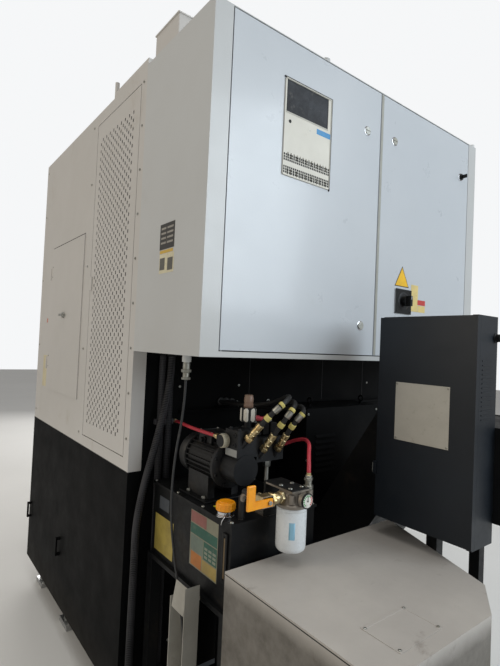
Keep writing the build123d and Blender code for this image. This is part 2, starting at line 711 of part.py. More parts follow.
def make_front_panel():
    """Front panel with the door opening and the two door rails."""
    body = pan((-INNER_X, INNER_X), (FRONT_Y, INNER_FRONT), UPPER_Z, "-y")
    body -= block((DOOR_X0 + DOOR_LAP, DOOR_X1 - DOOR_LAP), (FRONT_Y - 1, INNER_FRONT + 1),
                  (DOOR_Z0 + DOOR_LAP, DOOR_Z1 - DOOR_LAP))
    rail_x = (DOOR_X0 - DOOR_TRAVEL, DOOR_X1 + 10)
    rail_y = (DOOR_Y[0] - 10, FRONT_Y)
    rib_y = (DOOR_MIDDLE - RIB_HALF, DOOR_MIDDLE + RIB_HALF)
    body += block(rail_x, rail_y, (DOOR_Z0 - 30, DOOR_Z0 - 10))
    body += block(rail_x, rib_y, (DOOR_Z0 - 10, DOOR_Z0 - 4))
    body += block(rail_x, rail_y, (DOOR_Z1 + 10, DOOR_Z1 + 30))
    body += block(rail_x, rib_y, (DOOR_Z1 + 4, DOOR_Z1 + 10))
    return body


def make_rear_wall():
    """Rear wall with the conveyor opening, the belt slot and the narrow ledge."""
    body = pan((-INNER_X, INNER_X), (INNER_REAR, REAR_Y), (SKIRT_Z, BODY_TOP), "+y")
    body -= block(TUNNEL_X, (INNER_REAR - 1, REAR_Y + 1), (SKIRT_Z - 1, TUNNEL_TOP + 140))
    body -= block((MOTOR_X - 76, MOTOR_X + 102), (INNER_REAR - 1, REAR_Y + 1), (GUARD_LOW + 2, BRACKET_LOW))
    ledge = block((-INNER_X, LEDGE_END), (REAR_Y, REAR_Y + 20), (LEDGE_RAIL - 5, LEDGE_RAIL + 5))
    ledge -= block((COVER_X0 - 1, COVER_X1 + 1), grow((REAR_Y, REAR_Y + 20), 1),
                   grow((LEDGE_RAIL - 5, LEDGE_RAIL + 5), 1))
    return body + ledge


def make_roof():
    """Roof panel and the box that stands on it."""
    panel = pan((-INNER_X, INNER_X), (INNER_FRONT, INNER_REAR), (BODY_TOP - 40, BODY_TOP), "+z")
    box = block((ROOF_BOX_X0, ROOF_BOX_X1), (ROOF_BOX_Y0, ROOF_BOX_Y1), (BODY_TOP, ROOF_BOX_TOP))
    return panel, fillet(box.edges().filter_by(Axis.Z), 4)


right_panel = make_side_panel()
left_panel = mirror(pan(SIDE_X, BODY_Y, UPPER_Z, "+x"), about=Plane.YZ)
node("side_panels", right_panel, left_panel, *make_roof_strip())
node("lower_panels", *make_lower_panels())
node("front_panel", make_front_panel())
node("rear_wall", make_rear_wall())
node("roof_panel", *make_roof())


# Doors of the working chamber

def make_front_door():
    """Sliding front door: folded leaf with its runners, window opening and bow handle."""
    z = (DOOR_Z0, DOOR_Z1)
    x = (DOOR_X0, DOOR_X1)
    leaf = pan(x, DOOR_Y, z, "-y")
    window_x = grow(x, -WINDOW_MARGIN)
    window_z = (DOOR_Z0 + 200, DOOR_Z1 - WINDOW_MARGIN)
    leaf += block(grow(window_x, SHEET + 15), DOOR_Y, grow(window_z, SHEET + 15))
    leaf -= block(window_x, (DOOR_Y[0] - 1, DOOR_Y[1] + 1), window_z)
    leaf -= block(grow(window_x, 15), (DOOR_Y[0] + 12, DOOR_Y[1] + 1), grow(window_z, 15))
    for middle in (DOOR_X0 + 60, DOOR_X1 - 60):
        for low, high, rib in ((DOOR_Z0 - 10 + SLIDE_FIT, DOOR_Z0 + SHEET, DOOR_Z0 - 4 + SLIDE_FIT),
                               (DOOR_Z1 - SHEET, DOOR_Z1 + 10 - SLIDE_FIT, DOOR_Z1 + 4 - SLIDE_FIT)):
            shoe = block((middle - 30, middle + 30), (DOOR_Y[0] + 4, DOOR_Y[1] - 4), (low, high))
            groove = (low - 1, rib) if rib < DOOR_Z0 + 10 else (rib, high + 1)
            groove_y = (DOOR_MIDDLE - RIB_HALF - SLIDE_FIT, DOOR_MIDDLE + RIB_HALF + SLIDE_FIT)
            leaf += shoe - block((middle - 31, middle + 31), groove_y, groove)
    for z_stud in (HANDLE_LOW + 20, HANDLE_HIGH - 20):
        leaf += rod_y(9, DOOR_X1 - 55, (DOOR_Y[0] - 50, DOOR_Y[0]), z_stud)
    leaf += rod_z(12, DOOR_X1 - 55, DOOR_Y[0] - 50, (HANDLE_LOW, HANDLE_HIGH))
    glass = block(grow(window_x, 15), (DOOR_Y[0] + 12, DOOR_Y[1] - 6), grow(window_z, 15))
    return leaf, glass


def make_guard_door():
    """Perforated guard door: folded leaf, pivot blocks, slot field and a flat latch plate."""
    x = (HALF - FLUSH_THICK, HALF)
    y = (GUARD_Y0, GUARD_Y1)
    z = (GUARD_Z0, GUARD_Z1)
    leaf = pan(x, y, z, "+x")
    for low in (GUARD_Z0, GUARD_Z1 - 24):
        leaf += block(x, (GUARD_Y1 - 24, GUARD_Y1), (low, low + 24))
    leaf -= pivot_sockets(HALF - PIVOT_IN, GUARD_Y1 - PIVOT_IN, GUARD_Z0, GUARD_Z1)
    slots = []
    for column in range(HOLE_COLUMNS):
        lift = HOLE_PITCH_Z / 2 * (column % 2)
        hole_y = HOLE_START_Y + HOLE_PITCH_Y * column
        for row in range(HOLE_ROWS):
            hole_z = HOLE_START_Z + lift + HOLE_PITCH_Z * row
            slots.append(Pos(HALF - SHEET / 2, hole_y, hole_z) * Box(SHEET + 2, HOLE_WIDE, HOLE_TALL))
    leaf -= slots
    plate = block((HALF, HALF + 5), (GUARD_Y0 + 6, GUARD_Y0 + 26), (LATCH_PLATE_Z - 32, LATCH_PLATE_Z + 32))
    return leaf, plate


def make_access_door():
    """Lapped access door with its hinge knuckles and the round handle recess."""
    x = (HALF, HALF + ACCESS_THICK)
    leaf = pan(x, (ACCESS_Y0, ACCESS_Y1), (ACCESS_Z0, ACCESS_Z1), "+x")
    y = (ACCESS_Y0 + ACCESS_Y1) / 2
    boss = rod_x(LATCH_R + 6, y, LATCH_Z, x)
    leaf += boss
    leaf -= rod_x(LATCH_SHAFT_R + RUN_FIT, y, LATCH_Z, (x[0] - 1, x[1] + 1))
    for z in ACCESS_HINGES:
        span = (z + 0.3, z + HINGE_LONG)
        knuckle = rod_z(HINGE_R, HINGE_X, HINGE_Y, span)
        knuckle += block((HALF + 0.5, x[1]), (HINGE_Y, ACCESS_Y0 + SHEET), span)
        leaf += knuckle - rod_z(HINGE_PIN_R + RUN_FIT, HINGE_X, HINGE_Y, (z - 1, z + HINGE_LONG + 1))
    return leaf


def make_access_latch():
    """T-handle of the access door: outer grip, shaft and inner cam bar."""
    y = (ACCESS_Y0 + ACCESS_Y1) / 2
    outer = HALF + ACCESS_THICK
    body = rod_x(LATCH_SHAFT_R, y, LATCH_Z, (HALF - 6, outer + 4))
    body += rod_x(LATCH_R, y, LATCH_Z, (outer + SLIDE_FIT, outer + 8))
    body += block((outer + 8, outer + 20), (y - 30, y + 30), (LATCH_Z - 6, LATCH_Z + 6))
    body += block((HALF - 10, HALF - 4), (y - 45, y + 45), (LATCH_Z - 9, LATCH_Z + 9))
    return body


door_leaf, door_glass = make_front_door()
node("front_door", door_leaf)
node("door_window", door_glass)
node("guard_door", *make_guard_door())
node("access_door", make_access_door())
node("access_latch", make_access_latch())


# Operator pendant

arm_y = (PENDANT_Y - ARM_HALF, FRONT_Y)
arm_x = (PENDANT_X - ARM_HALF, PENDANT_X + ARM_HALF)
arm = block(arm_x, arm_y, (ARM_LOW, ARM_LOW + 2 * ARM_HALF))
arm += block(grow(arm_x, 25), (FRONT_Y - 8, FRONT_Y), grow((ARM_LOW, ARM_LOW + 2 * ARM_HALF), 25))
arm -= rod_z(20 + RUN_FIT, PENDANT_X, PENDANT_Y, (ARM_LOW - 1, ARM_LOW + 40))
node("pendant_arm", arm)

PENDANT_FACE = PENDANT_Y - PENDANT_DEPTH / 2
pendant = block((PENDANT_X - PENDANT_HALF, PENDANT_X + PENDANT_HALF),
                (PENDANT_FACE, PENDANT_Y + PENDANT_DEPTH / 2), (PENDANT_LOW, PENDANT_HIGH))
pendant = fillet(pendant.edges().filter_by(Axis.Z), 12)
pendant -= block((PENDANT_X - 150, PENDANT_X + 150), (PENDANT_FACE - 1, PENDANT_FACE + 4),
                 (PENDANT_HIGH - 270, PENDANT_HIGH - 45))
pendant += rod_z(30, PENDANT_X, PENDANT_Y, (PENDANT_HIGH, ARM_LOW - SLIDE_FIT))
pendant += rod_z(20, PENDANT_X, PENDANT_Y, (ARM_LOW - SLIDE_FIT, ARM_LOW + 39))
pendant -= rod_y(STOP_R + RUN_FIT, PENDANT_X + 130, (PENDANT_FACE - 1, PENDANT_FACE + 30), PENDANT_LOW + 80)
pendant -= rod_y(STOP_R + RUN_FIT, PENDANT_X - 130, (PENDANT_FACE - 1, PENDANT_FACE + 30), PENDANT_LOW + 80)
node("pendant_box", pendant)
stop = rod_y(STOP_R, PENDANT_X + 130, (PENDANT_FACE - 18, PENDANT_FACE + 20), PENDANT_LOW + 80)
stop += rod_y(20, PENDANT_X + 130, (PENDANT_FACE - 30, PENDANT_FACE - 12), PENDANT_LOW + 80)
node("emergency_stop", stop)
feed = rod_y(STOP_R, PENDANT_X - 130, (PENDANT_FACE - 6, PENDANT_FACE + 20), PENDANT_LOW + 80)
feed += rod_y(18, PENDANT_X - 130, (PENDANT_FACE - 24, PENDANT_FACE - 2), PENDANT_LOW + 80)
feed += block((PENDANT_X - 133, PENDANT_X - 127), (PENDANT_FACE - 30, PENDANT_FACE - 24),
              (PENDANT_LOW + 64, PENDANT_LOW + 96))
node("feed_knob", feed)


# Electrical cabinet

CABINET_X = (-HALF, HALF)
CABINET_Y = (REAR_Y, CABINET_REAR)
CABINET_Z = (CABINET_BOTTOM, CABINET_TOP)
OPEN_HALF = HALF - CABINET_MARGIN
LEAF_Z = (CABINET_BOTTOM + CABINET_SILL, CABINET_TOP - CABINET_HEAD)
LEAF_Y = (CABINET_REAR - FLUSH_THICK, CABINET_REAR)
LEAF_1 = (DOOR_SEAM + DOOR_SEAM_HALF / 2, OPEN_HALF - FLUSH_GAP)
LEAF_2 = (-OPEN_HALF + FLUSH_GAP, DOOR_SEAM - DOOR_SEAM_HALF / 2)


def make_cabinet():
    """Cabinet shell with sill, centre post, pivot pins, cable gland and top fittings."""
    body = block(CABINET_X, CABINET_Y, CABINET_Z)
    body -= block(grow(CABINET_X, -SHEET), grow(CABINET_Y, -SHEET), grow(CABINET_Z, -SHEET))
    body += block((-OPEN_HALF, OPEN_HALF), (LEAF_Y[0] - 10, CABINET_REAR),
                  (CABINET_BOTTOM, LEAF_Z[0] - FLUSH_GAP))
    body -= block((-OPEN_HALF, OPEN_HALF), (CABINET_REAR - SHEET - 1, CABINET_REAR + 1),
                  (LEAF_Z[0] - FLUSH_GAP, CABINET_TOP - SHEET))
    body += block((DOOR_SEAM - 45, DOOR_SEAM + 45), (POST_Y, POST_Y + SHEET), (CABINET_BOTTOM, CABINET_TOP))
    for side in (-1, 1):
        body += pivot_pins(side * (OPEN_HALF - FLUSH_GAP - PIVOT_IN), CABINET_REAR - PIVOT_IN, *LEAF_Z)
    gland = rod_z(GLAND_R, GLAND_X, GLAND_Y, (CABINET_BOTTOM - GLAND_LONG, CABINET_BOTTOM))
    gland += rod_z(GLAND_R + 5, GLAND_X, GLAND_Y, (CABINET_BOTTOM - 22, CABINET_BOTTOM))
    lugs = [rod_z(14, 301, CABINET_REAR - 15, (CABINET_TOP, CABINET_TOP + 12))]
    lugs.append(rod_z(12, -HALF + 13, CABINET_REAR - 15, (CABINET_TOP, CABINET_TOP + 15)))
    return body, gland, *lugs


def make_leaf(x, pivot_x):
    """Cabinet door leaf: folded pan with two solid pivot corners."""
    leaf = pan(x, LEAF_Y, LEAF_Z, "+y")
    corner = (x[1] - 24, x[1]) if pivot_x > 0 else (x[0], x[0] + 24)
    for low in (LEAF_Z[0], LEAF_Z[1] - 24):
        leaf += block(corner, LEAF_Y, (low, low + 24))
    return leaf - pivot_sockets(pivot_x, CABINET_REAR - PIVOT_IN, *LEAF_Z)


def lock_hole(x, z):
    """Hole for the shaft of a quarter-turn lock."""
    return rod_y(LOCK_SHAFT_R + RUN_FIT, x, (LEAF_Y[0] - 1, CABINET_REAR + 1), z)


def make_lock(x, z, reach):
    """Quarter-turn lock: round head with its slot, shaft and the cam behind the door."""
    body = rod_y(LOCK_R, x, (CABINET_REAR + SLIDE_FIT, CABINET_REAR + 5), z)
    body -= block((x - LOCK_R, x + LOCK_R), (CABINET_REAR + 3, CABINET_REAR + 6), (z - 1.5, z + 1.5))
    body += rod_y(LOCK_SHAFT_R, x, (POST_Y - 9, CABINET_REAR + 1), z)
    return body + block((x - 8, x + 8), (POST_Y - 9, POST_Y - 4), (z - 8, z + reach))


def make_cooler():
    """Door-mounted heat exchanger: bezel, filter grille recess, vent slots and the inner housing."""
    face = CABINET_REAR + COOLER_PROUD
    bezel = block((COOLER_X0, COOLER_X1), (CABINET_REAR, face), (COOLER_Z0, COOLER_Z1))
    bezel = fillet(bezel.edges().filter_by(Axis.Y), 6)
    grille_x = (COOLER_X0 + 19, COOLER_X1 - 6)
    bezel -= block(grille_x, (CABINET_REAR + 1, face + 1), (GRILLE_Z0, COOLER_Z1 - 5))
    for number in range(9):
        z = GRILLE_Z0 + 7 + 12 * number
        bezel += block(grille_x, (CABINET_REAR, face - 2), (z, z + 4))
    for row in VENT_ROWS:
        for number in range(14):
            x = COOLER_X0 + 22 + 14.5 * number
            bezel -= block((x - 2.5, x + 2.5), (CABINET_REAR + 1, face + 1), (row - 10, row + 10))
    inner = block((COOLER_X0 + 10, COOLER_X1 - 10), (CABINET_REAR - COOLER_IN, CABINET_REAR),
                  (COOLER_Z0 + 10, COOLER_Z1 - 10))
    return bezel + inner


node("cabinet_shell", *make_cabinet())
leaf_1 = make_leaf(LEAF_1, OPEN_HALF - FLUSH_GAP - PIVOT_IN)
leaf_1 -= block((COOLER_X0 + 9, COOLER_X1 - 9), grow(LEAF_Y, 1), (COOLER_Z0 + 9, COOLER_Z1 - 9))
leaf_1 -= lock_hole(LOCK_1_X, LOCK_TOP_Z)
leaf_1 -= lock_hole(LOCK_1_X, LOCK_LOW_Z)
node("cabinet_door_1", leaf_1)
node("heat_exchanger", make_cooler())
node("door_lock_1", make_lock(LOCK_1_X, LOCK_TOP_Z, CAM_1_REACH))
node("door_lock_2", make_lock(LOCK_1_X, LOCK_LOW_Z, CAM_1_REACH))

leaf_2 = make_leaf(LEAF_2, -OPEN_HALF + FLUSH_GAP + PIVOT_IN)
leaf_2 -= lock_hole(LOCK_2_X, LOCK_TOP_Z + 13)
leaf_2 -= lock_hole(KEY_X, LOCK_TOP_Z)
leaf_2 -= rod_y(LOCK_SHAFT_R + RUN_FIT, SWITCH_X, (LEAF_Y[0] - 1, CABINET_REAR + 1), SWITCH_Z)
plate = block((SWITCH_X - SWITCH_PLATE, SWITCH_X + SWITCH_PLATE), (CABINET_REAR, CABINET_REAR + 6),
              (SWITCH_Z - 51, SWITCH_Z + 51))
plate -= rod_y(LOCK_SHAFT_R + RUN_FIT, SWITCH_X, (CABINET_REAR - 1, CABINET_REAR + 7), SWITCH_Z)
node("cabinet_door_2", leaf_2, plate)
node("door_lock_3", make_lock(LOCK_2_X, LOCK_TOP_Z + 13, CAM_2_REACH))
key = rod_y(LOCK_R, KEY_X, (CABINET_REAR + SLIDE_FIT, CABINET_REAR + 8), LOCK_TOP_Z)
key += rod_y(LOCK_SHAFT_R, KEY_X, (CABINET_REAR - 20, CABINET_REAR + 1), LOCK_TOP_Z)
key += block((KEY_X - 1, KEY_X + 1), (CABINET_REAR + 8, CABINET_REAR + 34),
             (LOCK_TOP_Z - 9, LOCK_TOP_Z + 9))
node("key_lock", key)
knob = rod_y(SWITCH_KNOB_R, SWITCH_X, (CABINET_REAR + 6 + SLIDE_FIT, CABINET_REAR + 26), SWITCH_Z)
knob += rod_y(LOCK_SHAFT_R, SWITCH_X, (CABINET_REAR - 20, CABINET_REAR + 7), SWITCH_Z)
knob += block((SWITCH_X - 7, SWITCH_X + 7), (CABINET_REAR + 20, CABINET_REAR + 46),
              (SWITCH_Z - SWITCH_KNOB_R, SWITCH_Z + SWITCH_KNOB_R))
node("main_switch", knob)


def make_modules():
    """Mounting plate with drives, contactors on a rail and a transformer."""
    plate_y = (REAR_Y + SHEET, REAR_Y + SHEET + 5)
    solids = [block((-720, 720), plate_y, (CABINET_BOTTOM + 60, CABINET_TOP - 60))]
    for number in range(5):
        x = -640 + 150 * number
        drive = block((x, x + 120), (plate_y[1], plate_y[1] + 230), (2020, 2420))
        drive -= block((x + 15, x + 105), (plate_y[1] + 222, plate_y[1] + 231), (2060, 2100))
        solids.append(drive)
    rail = block((-640, 660), (plate_y[1], plate_y[1] + 12), (1830, 1860))
    for number in range(12):
        x = -620 + 62 * number
        rail += block((x, x + 52), (plate_y[1], plate_y[1] + 95), (1790, 1900))
    solids.append(rail)
    duct = block((-680, 690), (plate_y[1], plate_y[1] + 70), (1930, 1985))
    solids.append(duct)
    solids.append(block((-620, -380), (plate_y[1], plate_y[1] + 190), (1530, 1730)))
    solids.append(block((180, 660), (plate_y[1], plate_y[1] + 180), (1530, 1700)))
    return solids


node("drive_modules", *make_modules())


# Cable, its trough, conduits

CABLE_POINTS = [
    (778, 1175, 1380), (778, 1175, 1285), (784, 1134, 1115), (780, 1118, 935), (774, 1148, 792),
    (778, 1208, 678), (774, 1238, 545), (778, 1233, 380), (775, 1240, 225), (775, 1240, 130),
]
cable, cable_radii, cable_length = tube_along(CABLE_POINTS, CABLE_R)
node("power_cable", cable)


def make_trough():
    """Upright folded trough for the cable, with its foot, its cable plate and two straps."""
    y = (TROUGH_Y0, TROUGH_Y1)
    body = block((TROUGH_X0, TROUGH_X1), y, (0, TROUGH_TOP + 10))
    body -= block((TROUGH_X0 + SHEET, TROUGH_X1 + 1), grow(y, -SHEET), (SHEET, TROUGH_TOP + 11))
    slope = [(TROUGH_Y0 - 1, TROUGH_TOP - 60), (TROUGH_Y1 + 1, TROUGH_TOP),
             (TROUGH_Y1 + 1, TROUGH_TOP + 20), (TROUGH_Y0 - 1, TROUGH_TOP + 20)]
    body -= along_x(make_face(Polyline(*slope, close=True)), (TROUGH_X0 - 1, TROUGH_X1 + 1))
    body += block((TROUGH_X0, TROUGH_X1 - 4), y, (CABLE_END - 4, CABLE_END))
    for z in ((LEDGE_Z + 2, TANK_Z0 - 2), (STAND_RAIL_Z, STAND_RAIL_Z + 12)):
        body += block((TANK_X1 + LEDGE_LAP, TROUGH_X0), (TROUGH_Y0 + 40, TROUGH_Y0 + 60), z)
    return body


def make_conduits():
    """Two upright conduits and a slanting one on the rear wall, with their clamp and boxes."""
    solids = []
    holes = []
    for x in CONDUIT_XS:
        solids.append(rod_z(CONDUIT_R, x, CONDUIT_Y, (CONDUIT_BOX_TOP, CABINET_BOTTOM)))
        holes.append(rod_z(CONDUIT_R, x, CONDUIT_Y, (CLAMP_Z - 11, CLAMP_Z + 11)))
    slanting, _, _ = tube_along(SLANT_POINTS, CONDUIT_R)
    solids.append(slanting)
    clamp_x = grow(CONDUIT_XS, CONDUIT_R + 6)
    solids.append(block(clamp_x, (REAR_Y, CONDUIT_Y + 8), (CLAMP_Z - 10, CLAMP_Z + 10)) - holes)
    solids.append(block(clamp_x, (REAR_Y, CONDUIT_Y + 16), (CONDUIT_BOX_TOP - 80, CONDUIT_BOX_TOP)))
    x, y, z = SLANT_POINTS[-1]
    solids.append(block((x - 18, x + 18), (REAR_Y, y + 20), (z - 80, z)))
    return solids


SLANT_POINTS = [
    (668, 868, 1460), (668, 868, 1375), (680, 868, 1285), (716, 868, 1120), (762, 867, 950),
    (784, 865, 810), (782, 862, 660), (785, 865, 500), (784, 863, 340), (784, 863, 230),
]
CONDUIT_BOX_TOP = 230
CLAMP_Z = 1185
LEDGE_LAP = 14
STAND_RAIL_Z = 120
node("cable_channel", make_trough())
node("cable_conduits", *make_conduits())


# Hydraulic unit

LEDGE_X = (TANK_X0 - LEDGE_LAP, TANK_X1 + LEDGE_LAP)
LEDGE_Y = (TANK_Y0 - 6, TANK_Y1 + LEDGE_LAP)


def make_reservoir():
    """Oil reservoir with its lid, filler neck and the welded stand under it."""
    body = block((TANK_X0, TANK_X1), (TANK_Y0, TANK_Y1), (LEDGE_Z, TANK_Z1 - LID_THICK))
    body += block(LEDGE_X, LEDGE_Y, (LEDGE_Z, TANK_Z0))
    body += block((TANK_X0 - LID_LAP, TANK_X1 + LID_LAP), (TANK_Y0 - LID_LAP, TANK_Y1 + LID_LAP),
                  (TANK_Z1 - LID_THICK, TANK_Z1))
    neck = rod_z(26, CAP_X, CAP_Y, (TANK_Z1 - 1, TANK_Z1 + 19))
    body += neck
    body -= rod_z(SPIGOT_R + RUN_FIT, CAP_X, CAP_Y, (TANK_Z1 - 40, TANK_Z1 + 20))
    for x in ((LEDGE_X[0], LEDGE_X[0] + LEG), (LEDGE_X[1] - LEG, LEDGE_X[1])):
        for y in ((LEDGE_Y[0], LEDGE_Y[0] + LEG), (LEDGE_Y[1] - LEG, LEDGE_Y[1])):
            body += block(x, y, (0, LEDGE_Z + 1))
        body += block(x, LEDGE_Y, (STAND_RAIL_Z, STAND_RAIL_Z + 30))
    for y in ((LEDGE_Y[0], LEDGE_Y[0] + LEG), (LEDGE_Y[1] - LEG, LEDGE_Y[1])):
        body += block(LEDGE_X, y, (STAND_RAIL_Z, STAND_RAIL_Z + 30))
    spacer = block((LEDGE_X[1] - LEG, LEDGE_X[1]), (LEDGE_Y[1], COOL_Y0), (LEDGE_Z - 60, LEDGE_Z - 20))
    return body + spacer


def make_pump_motor():
    """Finned pump motor with its fan cowl, end flange, feet and terminal box."""
    body = rod_y(PUMP_MOTOR_R - 11, PUMP_X, (PUMP_MOTOR_Y0, PUMP_MOTOR_Y1), PUMP_Z)
    fin = block((-1.5, 1.5), (PUMP_MOTOR_Y0 + 45, PUMP_MOTOR_Y1 - 25), (PUMP_MOTOR_R - 15, PUMP_MOTOR_R))
    for number in range(FINS):
        body += Pos(PUMP_X, 0, PUMP_Z) * Rot(0, 360 / FINS * (number + 0.5), 0) * fin
    body += rod_y(PUMP_MOTOR_R - 2, PUMP_X, (PUMP_MOTOR_Y0, PUMP_MOTOR_Y0 + 42), PUMP_Z)
    body += rod_y(PUMP_MOTOR_R, PUMP_X, (PUMP_MOTOR_Y1 - 20, PUMP_MOTOR_Y1), PUMP_Z)
    for side in (-1, 1):
        foot_x = (PUMP_X + side * 50 - 14, PUMP_X + side * 50 + 14)
        body += block(foot_x, (PUMP_MOTOR_Y0 + 60, PUMP_MOTOR_Y1 - 40), (TANK_Z1, PUMP_Z - 40))
    return body + block((PUMP_X - 45, PUMP_X + 35), (PUMP_MOTOR_Y0 + 75, PUMP_MOTOR_Y0 + 155),
                        (PUMP_Z + 50, PUMP_Z + 92))


def hexagon_z(across, x, y, z):
    """A hexagonal bar along Z, by its width across flats."""
    outline = RegularPolygon(radius=across / 2, side_count=6, major_radius=False)
    return Pos(x, y, z[0]) * extrude(outline, amount=z[1] - z[0])


def make_manifold():
    """Pump body, the two valve blocks, relief valve, adjusting knob, tank line and hose fittings."""
    y = (BLOCK_Y0, BLOCK_Y1)
    body = rod_y(PUMP_R, PUMP_X, (PUMP_MOTOR_Y1, BLOCK_Y1 + 3), PUMP_Z)
    body += block(BLOCK_A, y, (PUMP_Z + 40, BLOCK_TOP))
    body += block((BLOCK_B, BLOCK_A[0]), y, (PUMP_Z + 20, BLOCK_TOP - 30))
    body += rod_z(12, RELIEF_X, RELIEF_Y, (BLOCK_TOP - 1, BLOCK_TOP + 24))
    body += hexagon_z(48, RELIEF_X, RELIEF_Y, (BLOCK_TOP + 22, BLOCK_TOP + 68))
    body += rod_z(14, RELIEF_X, RELIEF_Y, (BLOCK_TOP + 68, BLOCK_TOP + 110))
    body += rod_x(20, KNOB_Y, KNOB_Z, (BLOCK_A[1], BLOCK_A[1] + 27))
    body += rod_x(6, RED_START[1], RED_START[2], (BLOCK_B - 12, BLOCK_B))
    body += rod_y(8, RED_END[0], (BLOCK_Y0 - 22, KNOB_Y), RED_END[1])
    body += rod_z(7, LINE_X, LINE_Y, (TANK_Z1, PUMP_Z + 21))
    body += hexagon_z(20, LINE_X, LINE_Y, (PUMP_Z - 4, PUMP_Z + 21))
    for route in HOSE_ROUTES:
        end = Vector(*route[0])
        back = (end - Vector(*route[1])).normalized()
        body += Plane(origin=end, z_dir=back).location * extrude(Circle(HOSE_R), amount=63)
        nut = Plane(origin=end + back * 14, z_dir=back).location * extrude(
            RegularPolygon(radius=12, side_count=6, major_radius=False), amount=17)
        body += nut
    return body


def make_hoses():
    """Three black hoses from the fittings to the rear wall and two thin red ones."""
    solids = [tube_along(points, HOSE_R)[0] for points in HOSE_ROUTES]
    red_1 = [(622, REAR_Y, 1184), (622, 880, 1185), (650, 975, 1189), (656, 1080, 1189),
             (RED_END[0], 1145, RED_END[1]), (RED_END[0], BLOCK_Y0 - 22, RED_END[1])]
    red_2 = [RED_START, (406, 1250, 1150), (384, 1286, 1170), (392, 1345, 1186), (428, 1402, 1184),
             (476, 1448, 1170), (PORT_X, PORT_Y, 1134), (PORT_X, PORT_Y, HEAD_HIGH + 28)]
    solids.append(tube_along(red_1, RED_R)[0])
    solids.append(tube_along(red_2, RED_R)[0])
    return solids


def make_filter_head():
    """Filter bracket, head, return line, gauge and the fittings between them."""
    foot = (FILTER_X - 35, FILTER_X + 35)
    wall_y = (TANK_Y1 - 2, TANK_Y1 + 4)
    body = block(foot, (TANK_Y1 - 44, wall_y[1]), (TANK_Z1, TANK_Z1 + 6))
    body += block(foot, wall_y, (TANK_Z1, HEAD_HIGH + 6))
    body += block(foot, (wall_y[0], FILTER_Y + 37), (HEAD_HIGH, HEAD_HIGH + 6))
    body += rod_z(FILTER_R + 1, FILTER_X, FILTER_Y, (FILTER_HIGH, FILTER_HIGH + 8))
    body += rod_z(40, FILTER_X, FILTER_Y, (FILTER_HIGH, HEAD_HIGH))
    body += rod_z(15, PORT_X, PORT_Y, (FILTER_HIGH + 8, HEAD_HIGH))
    body += rod_z(8, PORT_X, PORT_Y, (HEAD_HIGH, HEAD_HIGH + 28))
    body += rod_x(14, FILTER_Y, VALVE_Z, (FILTER_X + 30, VALVE_X0))
    body += block((VALVE_X0, VALVE_X0 + 40), (FILTER_Y - 16, FILTER_Y + 16), (VALVE_Z - 16, VALVE_Z + 16))
    body -= rod_y(5 + RUN_FIT, LEVER_X, (FILTER_Y, FILTER_Y + 17), VALVE_Z)
    body += rod_y(5, GAUGE_X, (FILTER_Y + 30, FILTER_Y + 50), VALVE_Z)
    body += rod_y(GAUGE_R, GAUGE_X, (FILTER_Y + 50, FILTER_Y + 67), VALVE_Z)
    bend = (RETURN_X, TANK_Y1 - 20, VALVE_Z)
    line = [(RETURN_X, FILTER_Y - 16, VALVE_Z), bend, (RETURN_X, TANK_Y1 - 20, TANK_Z1)]
    return body + tube_along(line, 9)[0]


FINS = 24
SPIGOT_R = 20
BLOCK_A = (558, 638)
BLOCK_B = 440
RELIEF_X = 565
RELIEF_Y = 1240
KNOB_Y = 1222
KNOB_Z = 1180
LINE_X = 490
LINE_Y = 1260
PORT_X = 511
PORT_Y = 1486
HOSE_ROUTES = [
    [(596, 1312, 1214), (569, 1354, 1276), (520, 1384, 1326), (452, 1325, 1336), (412, 1225, 1304),
     (398, 1120, 1275), (403, 1010, 1260), (400, 912, 1253), (400, REAR_Y, 1253)],
    [(532, 1311, 1176), (511, 1360, 1254), (470, 1372, 1305), (415, 1305, 1314), (385, 1215, 1294),
     (370, 1122, 1270), (368, 1015, 1258), (371, 912, 1251), (371, REAR_Y, 1251)],
    [(472, 1312, 1173), (465, 1361, 1248), (440, 1385, 1284), (392, 1322, 1298), (362, 1225, 1276),
     (342, 1115, 1256), (338, 1010, 1250), (341, 912, 1248), (341, REAR_Y, 1248)],
]
RED_START = (428, 1250, 1150)
RED_END = (652, 1188)
VALVE_X0 = 644
LEVER_X = 664
LEVER_END = 742
GAUGE_X = 557
GAUGE_R = 21
RETURN_X = 664
node("hpu_reservoir", make_reservoir())
node("hpu_motor", make_pump_motor())
node("hpu_manifold", make_manifold())
node("hydraulic_hoses", *make_hoses())
node("filter_head", make_filter_head())
can = rod_z(FILTER_R, FILTER_X, FILTER_Y, (FILTER_LOW, FILTER_HIGH))
node("oil_filter", fillet(can.edges().group_by(Axis.Z)[0], 10))

cap = rod_z(CAP_R, CAP_X, CAP_Y, (TANK_Z1 + 19 + SLIDE_FIT, TANK_Z1 + 43))
cap = fillet(cap.edges().group_by(Axis.Z)[-1], 5)
cap += rod_z(SPIGOT_R, CAP_X, CAP_Y, (TANK_Z1 + 4, TANK_Z1 + 20))
node("filler_cap", cap)

lever_y = (FILTER_Y + 16 + SLIDE_FIT, FILTER_Y + 23)
lever = block((LEVER_X - 12, LEVER_END), lever_y, (VALVE_Z - 11, VALVE_Z + 11))
lever += block((LEVER_END - 24, LEVER_END), lever_y, (VALVE_Z - 11, VALVE_Z + 56))
lever += rod_y(5, LEVER_X, (FILTER_Y + 2, FILTER_Y + 17), VALVE_Z)
node("valve_lever", lever)


# Chip conveyor

CONV_X = (CONV_X0, CONV_X1)
SHAFT_Y = HEAD_END - BELT_INSET - SLAT - 12 - SPROCKET_R
SHAFT_Z = HEAD_Z - HEAD_DEEP / 2


